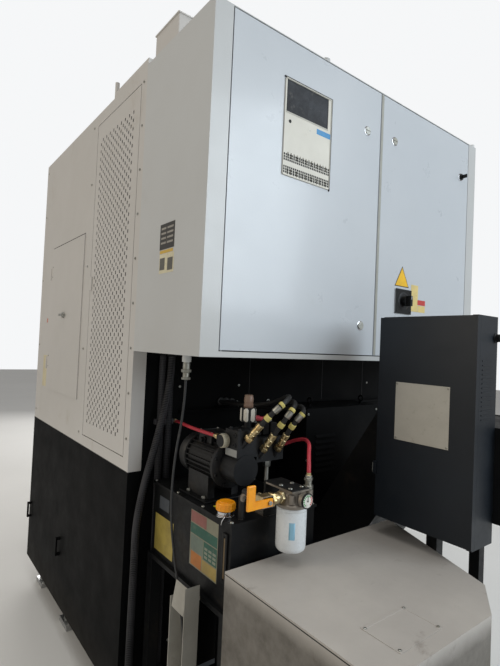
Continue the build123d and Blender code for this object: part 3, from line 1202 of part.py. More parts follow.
def make_conveyor_case():
    """Sheet case of the conveyor with its chip opening, discharge opening, feet and legs."""
    body = along_x(conveyor_face(0), CONV_X)
    body -= along_x(conveyor_face(CASE_SHEET), grow(CONV_X, -CASE_SHEET))
    mouth_x = grow(CONV_X, -CASE_SHEET - 6)
    body -= block(mouth_x, grow(CHUTE_Y, -15), (BED_HIGH - CASE_SHEET - 1, BED_HIGH + 1))
    body -= block(mouth_x, (HEAD_END - 210, HEAD_END - 40),
                  (HEAD_Z - HEAD_DEEP - 1, HEAD_Z - HEAD_DEEP + CASE_SHEET + 1))
    body -= rod_x(CONV_SHAFT_R + RUN_FIT, SHAFT_Y, SHAFT_Z, (CONV_X0 - 1, CONV_X1 + 1))
    for x in ((TUNNEL_X[0], CONV_X0), (CONV_X1, TUNNEL_X[1])):
        body += block(x, (300, 360), (BED_LOW + 80, BED_HIGH - 80))
    feet = [block(CONV_X, (y - 20, y + 20), (0, BED_LOW)) for y in (-400, 560)]
    legs = block((CONV_X0, CONV_X0 + LEG), (LEG_Y - 20, LEG_Y + 20), (0, HEAD_Z - HEAD_DEEP))
    legs += block((CONV_X1 - LEG, CONV_X1), (LEG_Y - 20, LEG_Y + 20), (0, HEAD_Z - HEAD_DEEP))
    legs += block(CONV_X, (LEG_Y - 15, LEG_Y + 15), (200, 230))
    return body, legs, *feet


def make_conveyor_belt():
    """Closed loop of the hinged belt inside the case."""
    outer = conveyor_face(BELT_INSET)
    outer = fillet(outer.vertices(), BELT_TURN)
    inner = offset(outer, amount=-SLAT)
    return along_x(outer - inner, grow(CONV_X, -CASE_SHEET - SLIDE_FIT))


LEG_Y = 1600
BELT_TURN = 90
node("conveyor_case", *make_conveyor_case())
node("conveyor_belt", make_conveyor_belt())
shaft = rod_x(CONV_SHAFT_R, SHAFT_Y, SHAFT_Z, (CONV_X0 - 12, CONV_X1 + 40))
for x_wheel in (CONV_X0 + 40, CONV_X1 - 60):
    shaft += rod_x(SPROCKET_R, SHAFT_Y, SHAFT_Z, (x_wheel, x_wheel + 20))
node("conveyor_shaft", shaft)


def make_conveyor_box():
    """Drive and control box on the side of the conveyor head, open towards its door."""
    body = pan((CONV_X1, BOX_X1 - BOX_DOOR), (BOX_Y0, BOX_Y1), (BOX_Z0, BOX_Z1), "-x")
    body -= rod_x(CONV_SHAFT_R + RUN_FIT, SHAFT_Y, SHAFT_Z, (CONV_X1 - 1, CONV_X1 + SHEET + 1))
    gearbox_y = (SHAFT_Y - 60, SHAFT_Y + 60)
    gearbox = block((CONV_X1 + SHEET, CONV_X1 + 75), gearbox_y, (SHAFT_Z - 150, SHAFT_Z + 70))
    gearbox -= rod_x(CONV_SHAFT_R + RUN_FIT, SHAFT_Y, SHAFT_Z, (CONV_X1, CONV_X1 + 41))
    board = block((CONV_X1 + SHEET, CONV_X1 + 60), (BOX_Y0 + 50, BOX_Y1 - 50), (BOX_Z1 - 260, BOX_Z1 - 60))
    button = rod_y(12, CONV_X1 + 13, (BOX_Y1, BOX_Y1 + 15), BOX_KNOB_Z)
    for ear_z, pin_z in (((BOX_Z0, BOX_Z0 + 3), (BOX_Z0 + 2, BOX_Z0 + 14)),
                         ((BOX_Z1 - 3, BOX_Z1), (BOX_Z1 - 14, BOX_Z1 - 2))):
        body += block((BOX_X1 - BOX_DOOR - 20, BOX_X1 - 4), (BOX_Y1 - 18, BOX_Y1), ear_z)
        body += rod_z(PIVOT_R, BOX_X1 - PIVOT_IN, BOX_Y1 - PIVOT_IN, pin_z)
    return body, gearbox, board, button


def make_box_door():
    """Door of the conveyor box with its latch."""
    z = (BOX_Z0 + 3.5, BOX_Z1 - 3.5)
    leaf = pan((BOX_X1 - BOX_DOOR + 0.5, BOX_X1), (BOX_Y0, BOX_Y1), z, "+x")
    for low in (z[0], z[1] - 14):
        leaf += block((BOX_X1 - BOX_DOOR + 0.5, BOX_X1), (BOX_Y1 - 18, BOX_Y1), (low, low + 14))
        leaf -= rod_z(PIVOT_R + RUN_FIT, BOX_X1 - PIVOT_IN, BOX_Y1 - PIVOT_IN, (low - 1, low + 15))
    return leaf + block((BOX_X1 - 16, BOX_X1 + 5), (BOX_Y0 - 9, BOX_Y0 + 6),
                        (BOX_LATCH_Z - 22, BOX_LATCH_Z + 22))


BOX_DOOR = 20
BOX_KNOB_Z = 1558
BOX_LATCH_Z = 1081
node("conveyor_box", *make_conveyor_box())
node("conveyor_box_door", make_box_door())


# Coolant tank

TANK_PLAN = [(COOL_X1, COOL_Y0), (-22, COOL_Y0), (173, 1866), (313, COOL_Y1), (COOL_X1, COOL_Y1)]
plan = make_face(Polyline(*TANK_PLAN, close=True))
tank = extrude(plan, amount=COOL_TOP - LID_SHEET)
inside = offset(plan, amount=-LID_SHEET, kind=Kind.INTERSECTION)
tank -= Pos(0, 0, LID_SHEET) * extrude(inside, amount=COOL_TOP)
node("tank_body", tank)
node("tank_lid", Pos(0, 0, COOL_TOP - LID_SHEET) * extrude(plan, amount=LID_SHEET))


os.makedirs("parts", exist_ok=True)
for name, shape in NODES.items():
    export_step(shape, f"parts/{name}.step")
    print(f"{name:20s} {len(shape.solids()):3d} solids, volume {shape.volume / 1e6:9.3f} l")
expected = math.pi * CABLE_R ** 2 * cable_length
print("cable length", round(cable_length, 1), "volume ratio", round(cable.volume / expected, 4))
print("cable radii", [round(value) for value in cable_radii])
print("nodes", len(NODES))
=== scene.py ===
import math

import bpy
from bpy.props import FloatProperty, FloatVectorProperty, IntProperty, PointerProperty
from mathutils import Matrix, Vector


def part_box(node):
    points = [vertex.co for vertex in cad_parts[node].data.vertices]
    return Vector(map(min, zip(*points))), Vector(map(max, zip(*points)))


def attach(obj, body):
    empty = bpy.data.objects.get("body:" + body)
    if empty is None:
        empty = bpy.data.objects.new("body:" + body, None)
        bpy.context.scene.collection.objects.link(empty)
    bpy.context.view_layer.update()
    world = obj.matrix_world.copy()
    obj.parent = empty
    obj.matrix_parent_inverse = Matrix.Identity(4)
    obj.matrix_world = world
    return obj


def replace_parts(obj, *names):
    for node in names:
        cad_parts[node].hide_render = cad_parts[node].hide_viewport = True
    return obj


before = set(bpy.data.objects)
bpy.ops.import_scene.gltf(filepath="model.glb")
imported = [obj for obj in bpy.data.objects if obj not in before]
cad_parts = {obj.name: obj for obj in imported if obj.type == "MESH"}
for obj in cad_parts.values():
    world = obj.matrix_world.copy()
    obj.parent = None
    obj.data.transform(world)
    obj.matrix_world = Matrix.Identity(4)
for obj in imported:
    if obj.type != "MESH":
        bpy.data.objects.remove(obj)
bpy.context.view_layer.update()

bl_info = {
    "name": "Vertical Lathe Dressing",
    "version": (1, 0, 0),
    "blender": (4, 5, 0),
    "location": "3D View > Sidebar > Lathe",
    "description": "Finishes and small pieces for the vertical lathe",
    "category": "Object",
}

UP = (0, 0, 1)
REAR = (0, 1, 0)
RIGHT = (1, 0, 0)
FRONT = (0, -1, 0)
LEFT = (-1, 0, 0)
SIDE = 0.8078  # how far out the side panels' fields and screws start, from the middle


def paint_rgb(red, green, blue):
    """A colour on the usual 0 to 255 scale, as Blender's linear values."""
    values = []
    for part in (red, green, blue):
        part /= 255
        values.append(part / 12.92 if part <= 0.04045 else ((part + 0.055) / 1.055) ** 2.4)
    return values[0], values[1], values[2], 1.0


class LatheColours(bpy.types.PropertyGroup):
    """Main colours of the machine."""

    # Used on the cabinet's doors alone. Its blue tint, set against the neutral shell of the same paint, is
    # painted cool light on the rear face.
    cabinet: FloatVectorProperty(name="Cabinet", description="Gloss paint of the cabinet and its doors",
                                 subtype="COLOR", size=4, min=0, max=1, default=paint_rgb(193, 198, 203))
    body: FloatVectorProperty(name="Body", description="Paint of the enclosure's upper panels",
                              subtype="COLOR", size=4, min=0, max=1, default=paint_rgb(194, 191, 187))
    dark: FloatVectorProperty(name="Lower panels", description="Black paint of the lower panels and stands",
                              subtype="COLOR", size=4, min=0, max=1, default=paint_rgb(14, 14, 15))
    tank: FloatVectorProperty(name="Coolant tank", description="Light paint of the coolant tank",
                              subtype="COLOR", size=4, min=0, max=1, default=paint_rgb(176, 171, 164))
    warning: FloatVectorProperty(name="Signal yellow", description="Plain yellow of the triangle and tags",
                                 subtype="COLOR", size=4, min=0, max=1, default=paint_rgb(242, 190, 20))


class LatheSizes(bpy.types.PropertyGroup):
    """Sizes of the small pieces that a user would change."""

    edge: FloatProperty(name="Edge radius", description="Rounding of small plates and blocks",
                        unit="LENGTH", subtype="DISTANCE", default=0.0008, min=0.0001)
    screw: FloatProperty(name="Screw radius", description="Radius of a panel screw's head",
                         unit="LENGTH", subtype="DISTANCE", default=0.0055, min=0.001)
    ferrule: FloatProperty(name="Ferrule radius", description="Radius of a crimped hose end",
                           unit="LENGTH", subtype="DISTANCE", default=0.0125, min=0.005)
    rib: FloatProperty(name="Conduit rib pitch", description="Distance between two ribs of the conduit",
                       unit="LENGTH", subtype="DISTANCE", default=0.0065, min=0.003)
    keys: IntProperty(name="Key rows", description="Rows of keys on the operator's pendant", default=5, min=1)
    lens: FloatProperty(name="Lens", description="Focal length of the camera on a 36 mm wide image",
                        subtype="NONE", default=33.37, min=10)


def colours():
    return bpy.context.scene.lathe_colours


def sizes():
    return bpy.context.scene.lathe_sizes


# Finishes

def mix_colours(tree, factor, first, second):
    """A colour that goes from first to second as factor goes from 0 to 1."""
    blend = tree.nodes.new("ShaderNodeMix")
    blend.data_type = "RGBA"
    tree.links.new(factor, blend.inputs[0])
    for socket, value in ((blend.inputs[6], first), (blend.inputs[7], second)):
        if isinstance(value, bpy.types.NodeSocket):
            tree.links.new(value, socket)
        else:
            socket.default_value = value
    return blend.outputs[2]


def spread(tree, value, low, high, out_low=0.0, out_high=1.0):
    """Stretches a pattern's range from low, high to out_low, out_high."""
    stretch = tree.nodes.new("ShaderNodeMapRange")
    stretch.inputs["From Min"].default_value = low
    stretch.inputs["From Max"].default_value = high
    stretch.inputs["To Min"].default_value = out_low
    stretch.inputs["To Max"].default_value = out_high
    tree.links.new(value, stretch.inputs["Value"])
    return stretch.outputs["Result"]


def clouds(tree, coordinates, scale, detail=6.0, rough=0.6, swirl=0.0):
    """Noise at that many features per metre."""
    noise = tree.nodes.new("ShaderNodeTexNoise")
    noise.inputs["Scale"].default_value = scale
    noise.inputs["Detail"].default_value = detail
    noise.inputs["Roughness"].default_value = rough
    noise.inputs["Distortion"].default_value = swirl
    tree.links.new(coordinates, noise.inputs["Vector"])
    return noise.outputs[0]


def object_place(tree, stretch=(1, 1, 1)):
    """Object coordinates, stretched for brushed or run-down patterns."""
    place = tree.nodes.new("ShaderNodeTexCoord")
    mapping = tree.nodes.new("ShaderNodeMapping")
    mapping.inputs["Scale"].default_value = stretch
    tree.links.new(place.outputs["Object"], mapping.inputs["Vector"])
    return mapping.outputs["Vector"]


def finish(name, colour, second, patches=1.5, rough=(0.35, 0.5), grain=300.0, depth=0.0001, metallic=0.0,
           dirt=None, dirt_scale=5.0, dirt_reach=(0.55, 0.75), low=None, stretch=(1, 1, 1), coat=0.0,
           specular=0.5, swirl=0.0):
    """Painted, cast or moulded surface: two tones in patches, dirt, uneven gloss and a fine grain."""
    known = bpy.data.materials.get(name)
    if known:
        return known
    made = bpy.data.materials.new(name)
    made.use_nodes = True
    tree = made.node_tree
    shader = tree.nodes["Principled BSDF"]
    place = object_place(tree, stretch)
    tone = mix_colours(tree, spread(tree, clouds(tree, place, patches, 5, 0.6, swirl), 0.36, 0.64), colour,
                       second)
    if dirt:
        marks = spread(tree, clouds(tree, place, dirt_scale, 12, 0.72, 0.4), dirt_reach[0], dirt_reach[1])
        tone = mix_colours(tree, marks, tone, dirt)
    # A band of another colour towards the bottom: grime near the floor on the lower panels; on the tank,
    # partly grime and partly painted shade.
    if low:
        parts = tree.nodes.new("ShaderNodeSeparateXYZ")
        tree.links.new(object_place(tree), parts.inputs[0])
        height = spread(tree, parts.outputs["Z"], low[1], low[0])
        ragged = tree.nodes.new("ShaderNodeMath")
        ragged.operation = "MULTIPLY"
        tree.links.new(height, ragged.inputs[0])
        tree.links.new(spread(tree, clouds(tree, place, dirt_scale * 2, 10, 0.7), 0.3, 0.7, 0.72, 1.0),
                       ragged.inputs[1])
        tone = mix_colours(tree, ragged.outputs[0], tone, low[2])
    tree.links.new(tone, shader.inputs["Base Color"])
    gloss = spread(tree, clouds(tree, place, patches * 6, 8, 0.65), 0.3, 0.7, rough[0], rough[1])
    tree.links.new(gloss, shader.inputs["Roughness"])
    shader.inputs["Metallic"].default_value = metallic
    shader.inputs["Coat Weight"].default_value = coat
    shader.inputs["Coat Roughness"].default_value = 0.12
    shader.inputs["Specular IOR Level"].default_value = specular
    bump = tree.nodes.new("ShaderNodeBump")
    bump.inputs["Strength"].default_value = 0.6
    bump.inputs["Distance"].default_value = depth
    tree.links.new(clouds(tree, place, grain, 3, 0.5), bump.inputs["Height"])
    tree.links.new(bump.outputs["Normal"], shader.inputs["Normal"])
    return made


def woven(name, dark, light, pitch, direction):
    """Fine wire or foam mesh seen flat on, with dust caught in it."""
    made = finish(name, dark, light, 9.0, (0.7, 0.9), 900.0, 0.0003, dirt=paint_rgb(150, 148, 140),
                  dirt_scale=14.0, dirt_reach=(0.56, 0.8))
    tree = made.node_tree
    place = object_place(tree)
    lines = []
    for axis in direction:
        band = tree.nodes.new("ShaderNodeTexWave")
        band.bands_direction = axis
        band.inputs["Scale"].default_value = 0.314 / pitch
        tree.links.new(place, band.inputs["Vector"])
        lines.append(band.outputs[1])
    grid = tree.nodes.new("ShaderNodeMath")
    grid.operation = "MAXIMUM"
    tree.links.new(lines[0], grid.inputs[0])
    tree.links.new(lines[1], grid.inputs[1])
    shader = tree.nodes["Principled BSDF"]
    worn = shader.inputs["Base Color"].links[0].from_socket
    tone = mix_colours(tree, spread(tree, grid.outputs[0], 0.6, 1.0, 0.35, 1.0), (0.008, 0.008, 0.009, 1),
                       worn)
    tree.links.new(tone, shader.inputs["Base Color"])
    return made


def clear(name, tint, rough):
    """Laminated glass or a clear dome, with faint smears."""
    made = finish(name, tint, tint, 3.0, (rough, rough + 0.08), 60.0, 0.00002)
    shader = made.node_tree.nodes["Principled BSDF"]
    shader.inputs["Transmission Weight"].default_value = 0.85
    shader.inputs["IOR"].default_value = 1.5
    return made


def lit(name, colour, strength):
    """Small lamp or screen with a faint glow, uneven like a real lens."""
    made = finish(name, colour, colour, 30.0, (0.15, 0.3), 200.0, 0.00005)
    shader = made.node_tree.nodes["Principled BSDF"]
    shader.inputs["Emission Color"].default_value = colour
    shader.inputs["Emission Strength"].default_value = strength
    return made




def door_paint_cool_lit():
    # Tinted bluer than the shell's same paint: the tint is painted cool light on the rear face, over the real
    # paint.
    tone = colours().cabinet
    second = (tone[0] * 0.94, tone[1] * 0.95, tone[2] * 0.96, 1)
    return finish("cabinet door paint with painted cool light", tuple(tone), second, 1.2, (0.26, 0.36), 210.0, 0.00045,
                  dirt=paint_rgb(178, 182, 182), dirt_scale=3.0, dirt_reach=(0.62, 0.85), coat=0.3)


def shell_paint():
    return finish("cabinet shell paint", paint_rgb(190, 192, 192), paint_rgb(184, 185, 184), 1.2, (0.3, 0.4),
                  210.0, 0.00045,
                  dirt=paint_rgb(172, 172, 168), dirt_scale=3.0, dirt_reach=(0.62, 0.85), coat=0.2)


def body_paint():
    tone = colours().body
    second = (tone[0] * 0.92, tone[1] * 0.92, tone[2] * 0.91, 1)
    return finish("body paint", tuple(tone), second, 0.9, (0.32, 0.44), 240.0, 0.0003,
                  dirt=paint_rgb(168, 160, 146), dirt_scale=2.6, dirt_reach=(0.6, 0.82), coat=0.15)


def dark_paint():
    tone = colours().dark
    return finish("lower panel paint", tuple(tone), paint_rgb(11, 12, 13), 1.4, (0.55, 0.7), 260.0, 0.0002,
                  dirt=paint_rgb(24, 24, 23), dirt_scale=3.5, dirt_reach=(0.6, 0.85),
                  low=(0.1, 0.3, paint_rgb(36, 34, 31)), specular=0.06)


def stand_paint():
    return finish("oily stand paint", paint_rgb(14, 15, 17), paint_rgb(20, 21, 22), 4.0, (0.36, 0.6), 180.0,
                  0.0003,
                  dirt=paint_rgb(52, 46, 38), dirt_scale=7.0, dirt_reach=(0.56, 0.84), specular=0.2)


def box_paint():
    return finish("conveyor box paint", paint_rgb(16, 22, 29), paint_rgb(20, 27, 35), 3.0, (0.38, 0.5), 240.0,
                  0.0003,
                  dirt=paint_rgb(46, 49, 52), dirt_scale=6.0, dirt_reach=(0.66, 0.9), specular=0.35)


def tank_paint_and_shade():
    tone = colours().tank
    return finish("tank paint with painted shade", tuple(tone), paint_rgb(164, 159, 153), 2.5, (0.36, 0.6), 170.0, 0.0004,
                  dirt=paint_rgb(112, 104, 96), dirt_scale=8.0, dirt_reach=(0.6, 0.78),
                  # Darkens the tank's body from z 0.846 down to 0.80 and below: partly grime, partly painted
                  # shade of its sides.
                  low=(0.80, 0.846, paint_rgb(82, 77, 69)))


def channel_paint():
    return finish("cable channel paint", paint_rgb(166, 163, 155), paint_rgb(146, 143, 134), 5.0,
                  (0.36, 0.55), 170.0, 0.0004,
                  dirt=paint_rgb(120, 116, 104), dirt_scale=12.0, dirt_reach=(0.6, 0.8))


def casting_paint():
    return finish("casting paint", paint_rgb(118, 122, 124), paint_rgb(104, 108, 112), 3.0, (0.45, 0.65),
                  90.0, 0.0008,
                  dirt=paint_rgb(62, 58, 52), dirt_scale=6.0, dirt_reach=(0.58, 0.8))


def machined_steel():
    return finish("machined steel", paint_rgb(186, 188, 190), paint_rgb(168, 170, 172), 6.0, (0.22, 0.36),
                  1200.0,
                  0.00003, metallic=1.0, dirt=paint_rgb(130, 124, 112), dirt_scale=12.0,
                  dirt_reach=(0.62, 0.85))


def zinc():
    return finish("zinc plate", paint_rgb(178, 180, 176), paint_rgb(150, 148, 138), 14.0, (0.3, 0.48), 500.0,
                  0.00008,
                  metallic=1.0, dirt=paint_rgb(108, 98, 80), dirt_scale=22.0, dirt_reach=(0.58, 0.8))


def brass():
    return finish("yellow passivated steel", paint_rgb(206, 190, 150), paint_rgb(168, 144, 100), 34.0,
                  (0.24, 0.42),
                  600.0, 0.00006, metallic=1.0, dirt=paint_rgb(96, 78, 50), dirt_scale=26.0,
                  dirt_reach=(0.58, 0.8))


def cast_alloy():
    return finish("cast alloy", paint_rgb(158, 152, 144), paint_rgb(132, 124, 114), 12.0, (0.42, 0.6), 260.0,
                  0.0004,
                  metallic=0.85, dirt=paint_rgb(84, 74, 60), dirt_scale=18.0, dirt_reach=(0.56, 0.78))


def chrome():
    return finish("bright plate", paint_rgb(214, 214, 214), paint_rgb(196, 196, 198), 10.0, (0.1, 0.2), 400.0,
                  0.00003,
                  metallic=1.0, dirt=paint_rgb(140, 136, 128), dirt_scale=30.0, dirt_reach=(0.64, 0.85))


def dark_steel():
    return finish("phosphated steel", paint_rgb(27, 29, 32), paint_rgb(19, 20, 23), 8.0, (0.4, 0.6), 260.0,
                  0.0003,
                  metallic=0.35, dirt=paint_rgb(84, 76, 64), dirt_scale=12.0, dirt_reach=(0.58, 0.82))


def motor_paint():
    return finish("motor paint", paint_rgb(19, 20, 22), paint_rgb(14, 15, 17), 6.0, (0.42, 0.62), 220.0,
                  0.0003,
                  dirt=paint_rgb(58, 53, 45), dirt_scale=9.0, dirt_reach=(0.57, 0.8))


def rubber():
    return finish("hose rubber", paint_rgb(15, 15, 16), paint_rgb(20, 20, 20), 12.0, (0.5, 0.68), 600.0,
                  0.0002,
                  dirt=paint_rgb(66, 62, 56), dirt_scale=30.0, dirt_reach=(0.6, 0.85))


def sheath():
    return finish("cable sheath", paint_rgb(30, 31, 33), paint_rgb(38, 39, 40), 9.0, (0.36, 0.52), 500.0,
                  0.0002,
                  dirt=paint_rgb(84, 80, 74), dirt_scale=24.0, dirt_reach=(0.56, 0.8))


def black_plastic():
    return finish("black plastic", paint_rgb(13, 14, 15), paint_rgb(18, 19, 20), 8.0, (0.45, 0.6), 700.0,
                  0.00012, specular=0.25,
                  dirt=paint_rgb(56, 52, 46), dirt_scale=16.0, dirt_reach=(0.62, 0.88))


def cream_plastic():
    return finish("cream plastic", paint_rgb(216, 213, 202), paint_rgb(206, 203, 192), 6.0, (0.36, 0.5),
                  500.0, 0.0001,
                  dirt=paint_rgb(176, 170, 154), dirt_scale=9.0, dirt_reach=(0.6, 0.85))


def orange_plastic():
    return finish("orange plastic", paint_rgb(250, 168, 20), paint_rgb(240, 150, 12), 14.0, (0.28, 0.42),
                  400.0, 0.0001,
                  dirt=paint_rgb(168, 100, 20), dirt_scale=40.0, dirt_reach=(0.6, 0.85))


def red_plastic():
    return finish("red plastic", paint_rgb(200, 24, 20), paint_rgb(184, 18, 16), 12.0, (0.25, 0.4), 400.0,
                  0.00008,
                  dirt=paint_rgb(120, 24, 20), dirt_scale=30.0, dirt_reach=(0.62, 0.88))


def green_plastic():
    return finish("green plastic", paint_rgb(24, 150, 70), paint_rgb(20, 134, 62), 12.0, (0.25, 0.4), 400.0,
                  0.00008)


def red_rubber():
    return finish("red hose", paint_rgb(186, 54, 66), paint_rgb(160, 44, 56), 14.0, (0.4, 0.55), 500.0,
                  0.0002,
                  dirt=paint_rgb(90, 40, 40), dirt_scale=30.0, dirt_reach=(0.6, 0.85))


def enamel():
    return finish("white enamel", paint_rgb(226, 230, 232), paint_rgb(214, 219, 222), 8.0, (0.22, 0.34),
                  300.0, 0.00006,
                  dirt=paint_rgb(168, 166, 158), dirt_scale=14.0, dirt_reach=(0.62, 0.86), coat=0.3)


def label(name, colour, fade=0.86, age=paint_rgb(120, 112, 90)):
    """Plain printed field: one faded colour with stains and a slightly lifted film."""
    second = (colour[0] * fade, colour[1] * fade, colour[2] * fade, 1)
    return finish(name, colour, second, 20.0, (0.35, 0.5), 250.0, 0.0001, dirt=age, dirt_scale=34.0,
                  dirt_reach=(0.58, 0.82))


NODE_FINISH = {
    door_paint_cool_lit: ["cabinet_door_1", "cabinet_door_2"],
    shell_paint: ["cabinet_shell"],
    body_paint: ["side_panels", "front_panel", "roof_panel", "front_door", "guard_door", "access_door",
                 "pendant_arm", "pendant_box"],
    dark_paint: ["lower_panels", "rear_wall", "motor_cover"],
    stand_paint: ["hpu_reservoir", "conveyor_case"],
    box_paint: ["conveyor_box", "conveyor_box_door"],
    tank_paint_and_shade: ["tank_body", "tank_lid"],
    channel_paint: ["cable_channel"],
    casting_paint: ["base_casting", "column_casting", "spindle_housing", "x_saddle", "z_ram", "motor_pulley"],
    machined_steel: ["leveling_pads", "spindle_shaft", "chuck_body", "chuck_jaw_1", "chuck_jaw_2",
                     "chuck_jaw_3",
                     "turret_disc", "conveyor_belt", "conveyor_shaft"],
    motor_paint: ["x_drive", "z_drive", "spindle_motor", "hpu_motor"],
    dark_steel: ["hpu_manifold", "drive_modules"],
    cast_alloy: ["filter_head"],
    zinc: ["access_latch", "door_lock_1", "door_lock_2", "door_lock_3"],
    rubber: ["drive_belt"],
    black_plastic: ["feed_knob", "key_lock", "main_switch"],
    cream_plastic: ["heat_exchanger"],
    orange_plastic: ["valve_lever", "filler_cap"],
    red_plastic: ["emergency_stop"],
}


# Modelling by hand

def clear_selection():
    """Leaves nothing selected, in object mode."""
    if bpy.context.object and bpy.context.object.mode != "OBJECT":
        bpy.ops.object.mode_set(mode="OBJECT")
    bpy.ops.object.select_all(action="DESELECT")


def pick(pieces):
    """Selects these pieces alone; the first is the active one."""
    clear_selection()
    for piece in pieces:
        piece.select_set(True)
    bpy.context.view_layer.objects.active = pieces[0]


def settle(piece):
    """Puts a piece's place, turn and size into its mesh."""
    pick([piece])
    bpy.ops.object.transform_apply(location=True, rotation=True, scale=True)
    return piece


def edit_all():
    """Goes to edit mode with the whole mesh selected."""
    bpy.ops.object.mode_set(mode="EDIT")
    bpy.ops.mesh.select_all(action="SELECT")


def choose_faces(piece, wanted):
    """Goes to edit mode with the faces selected whose centre and normal suit."""
    bpy.ops.object.mode_set(mode="EDIT")
    bpy.ops.mesh.select_mode(type="FACE")
    bpy.ops.mesh.select_all(action="DESELECT")
    bpy.ops.object.mode_set(mode="OBJECT")
    for face in piece.data.polygons:
        face.select = wanted(face.center, face.normal)
    bpy.ops.object.mode_set(mode="EDIT")


def plate(low, high, edge=None, inset=None):
    """Block between two corners with rounded edges; inset is (direction, rim, depth) of a sunk face."""
    clear_selection()
    low, high = Vector(low), Vector(high)
    bpy.ops.mesh.primitive_cube_add(size=1, location=(low + high) / 2, scale=high - low)
    piece = bpy.context.object
    settle(piece)
    round_by = min(sizes().edge if edge is None else edge, min(high - low) * 0.4)
    edit_all()
    bpy.ops.mesh.bevel(offset=round_by, segments=2, affect="EDGES")
    bpy.ops.object.mode_set(mode="OBJECT")
    if inset:
        facing = Vector(inset[0])
        reach = max((high - low).dot(facing), -(high - low).dot(facing)) / 2
        middle = (low + high) / 2
        choose_faces(piece, lambda at,
                     normal: normal.dot(facing) > 0.99 and (at - middle).dot(facing) > reach * 0.9)
        bpy.ops.mesh.inset(thickness=inset[1], depth=0)
        bpy.ops.mesh.inset(thickness=min(inset[1], abs(inset[2])) * 0.5, depth=-inset[2])
        bpy.ops.object.mode_set(mode="OBJECT")
    return piece


def turned(start, steps, sides=32):
    """Turned piece along +Z from the origin: a disc of radius start, extruded by (length, radius) steps."""
    clear_selection()
    bpy.ops.mesh.primitive_circle_add(vertices=sides, radius=start, fill_type="NGON", location=(0, 0, 0))
    piece = bpy.context.object
    edit_all()
    height, radius = 0.0, start
    for length, wide in steps:
        height += length
        bpy.ops.mesh.extrude_region_move(TRANSFORM_OT_translate={"value": (0, 0, length)})
        grow = wide / radius
        bpy.ops.transform.resize(value=(grow, grow, 1), center_override=(0, 0, height))
        radius = wide
    bpy.ops.mesh.select_all(action="SELECT")
    bpy.ops.mesh.normals_make_consistent(inside=False)
    bpy.ops.object.mode_set(mode="OBJECT")
    pick([piece])
    bpy.ops.object.shade_smooth_by_angle(angle=math.radians(40))
    return piece


def place(piece, at, along=UP, turn=0.0):
    """Moves a piece made at the origin to its place, with its +Z turned to along."""
    heading = Vector(UP).rotation_difference(Vector(along)).to_matrix().to_4x4()
    piece.matrix_world = Matrix.Translation(at) @ heading @ Matrix.Rotation(turn, 4, "Z")
    return settle(piece)


def copy_of(piece, shift=(0, 0, 0)):
    """A copy with its own mesh, moved by shift."""
    pick([piece])
    bpy.ops.object.duplicate(linked=False)
    twin = bpy.context.object
    twin.location = shift
    pick([twin])
    bpy.ops.object.transform_apply(location=True, rotation=False, scale=False)
    return twin


def at_each(piece, spots):
    """The piece, made at the first spot, and a copy at each other spot."""
    first = Vector(spots[0])
    return [piece] + [copy_of(piece, Vector(spot) - first) for spot in spots[1:]]


def row(piece, count, step):
    """Repeats a piece count times along step."""
    pick([piece])
    line = piece.modifiers.new("Row", "ARRAY")
    line.count = count
    line.use_relative_offset = False
    line.use_constant_offset = True
    line.constant_offset_displace = step
    bpy.ops.object.modifier_apply(modifier=line.name)
    return piece


def paint(pieces, material):
    """Gives pieces one finish and hands them on."""
    for piece in pieces:
        piece.data.materials.clear()
        piece.data.materials.append(material)
    return pieces


def assemble(name, pieces, body="frame"):
    """Joins painted pieces into one named piece that moves with a body."""
    pick(pieces)
    if len(pieces) > 1:
        bpy.ops.object.join()
    made = bpy.context.view_layer.objects.active
    made.name = name
    made.data.name = name
    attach(made, body)
    return made


def patch(low, high, name, colour):
    """A thin plain field of one colour."""
    return paint([plate(low, high, 0.0003)], label(name, colour))


def screw(radius, height, sides=14):
    """Socket-head screw on +Z: a rounded head with a sunk socket."""
    return turned(radius, [(height * 0.7, radius), (height * 0.3, radius * 0.84), (0.0001, radius * 0.5),
                           (-height * 0.5, radius * 0.46)], sides)


def heads_at(spots, along, radius, height, sides=14):
    """Equal screw heads, one at each spot."""
    return at_each(place(screw(radius, height, sides), spots[0], along), spots)


def screws(name, spots, along, radius, height, material, body="frame"):
    """One group of equal screws."""
    return assemble(name, paint(heads_at(spots, along, radius, height), material), body)


def hexagon(across, length):
    """Nut along +Z with chamfered corners."""
    corner = across / math.sqrt(3)
    return turned(corner * 0.9, [(length * 0.12, corner), (length * 0.76, corner),
                                 (length * 0.12, corner * 0.9)], 6)


def hose(name, points, radius):
    """Round hose whose centreline is a smooth spline through its route."""
    line = bpy.data.curves.new(name, "CURVE")
    line.dimensions = "3D"
    line.bevel_depth = radius
    line.bevel_resolution = 4
    line.resolution_u = 10
    line.use_fill_caps = True
    spline = line.splines.new("NURBS")
    spline.points.add(len(points) - 1)
    for knot, spot in zip(spline.points, points):
        knot.co = (*spot, 1)
    spline.order_u = 3
    spline.use_endpoint_u = True
    made = bpy.data.objects.new(name, line)
    bpy.context.collection.objects.link(made)
    return made


def as_mesh(piece):
    """Turns a curve into a mesh."""
    pick([piece])
    bpy.ops.object.convert(target="MESH")
    return bpy.context.object


class LathePiece:
    """What all the operators share."""

    bl_options = {"REGISTER", "UNDO"}

    def execute(self, context):
        self.build()
        clear_selection()
        return {"FINISHED"}


CABLE_ROUTE = [
    (0.778, 1.175, 1.380), (0.778, 1.175, 1.285), (0.784, 1.134, 1.115), (0.780, 1.118, 0.935),
    (0.774, 1.148, 0.792), (0.778, 1.208, 0.678), (0.774, 1.238, 0.545), (0.778, 1.233, 0.380),
    (0.775, 1.240, 0.225), (0.775, 1.240, 0.130),
]


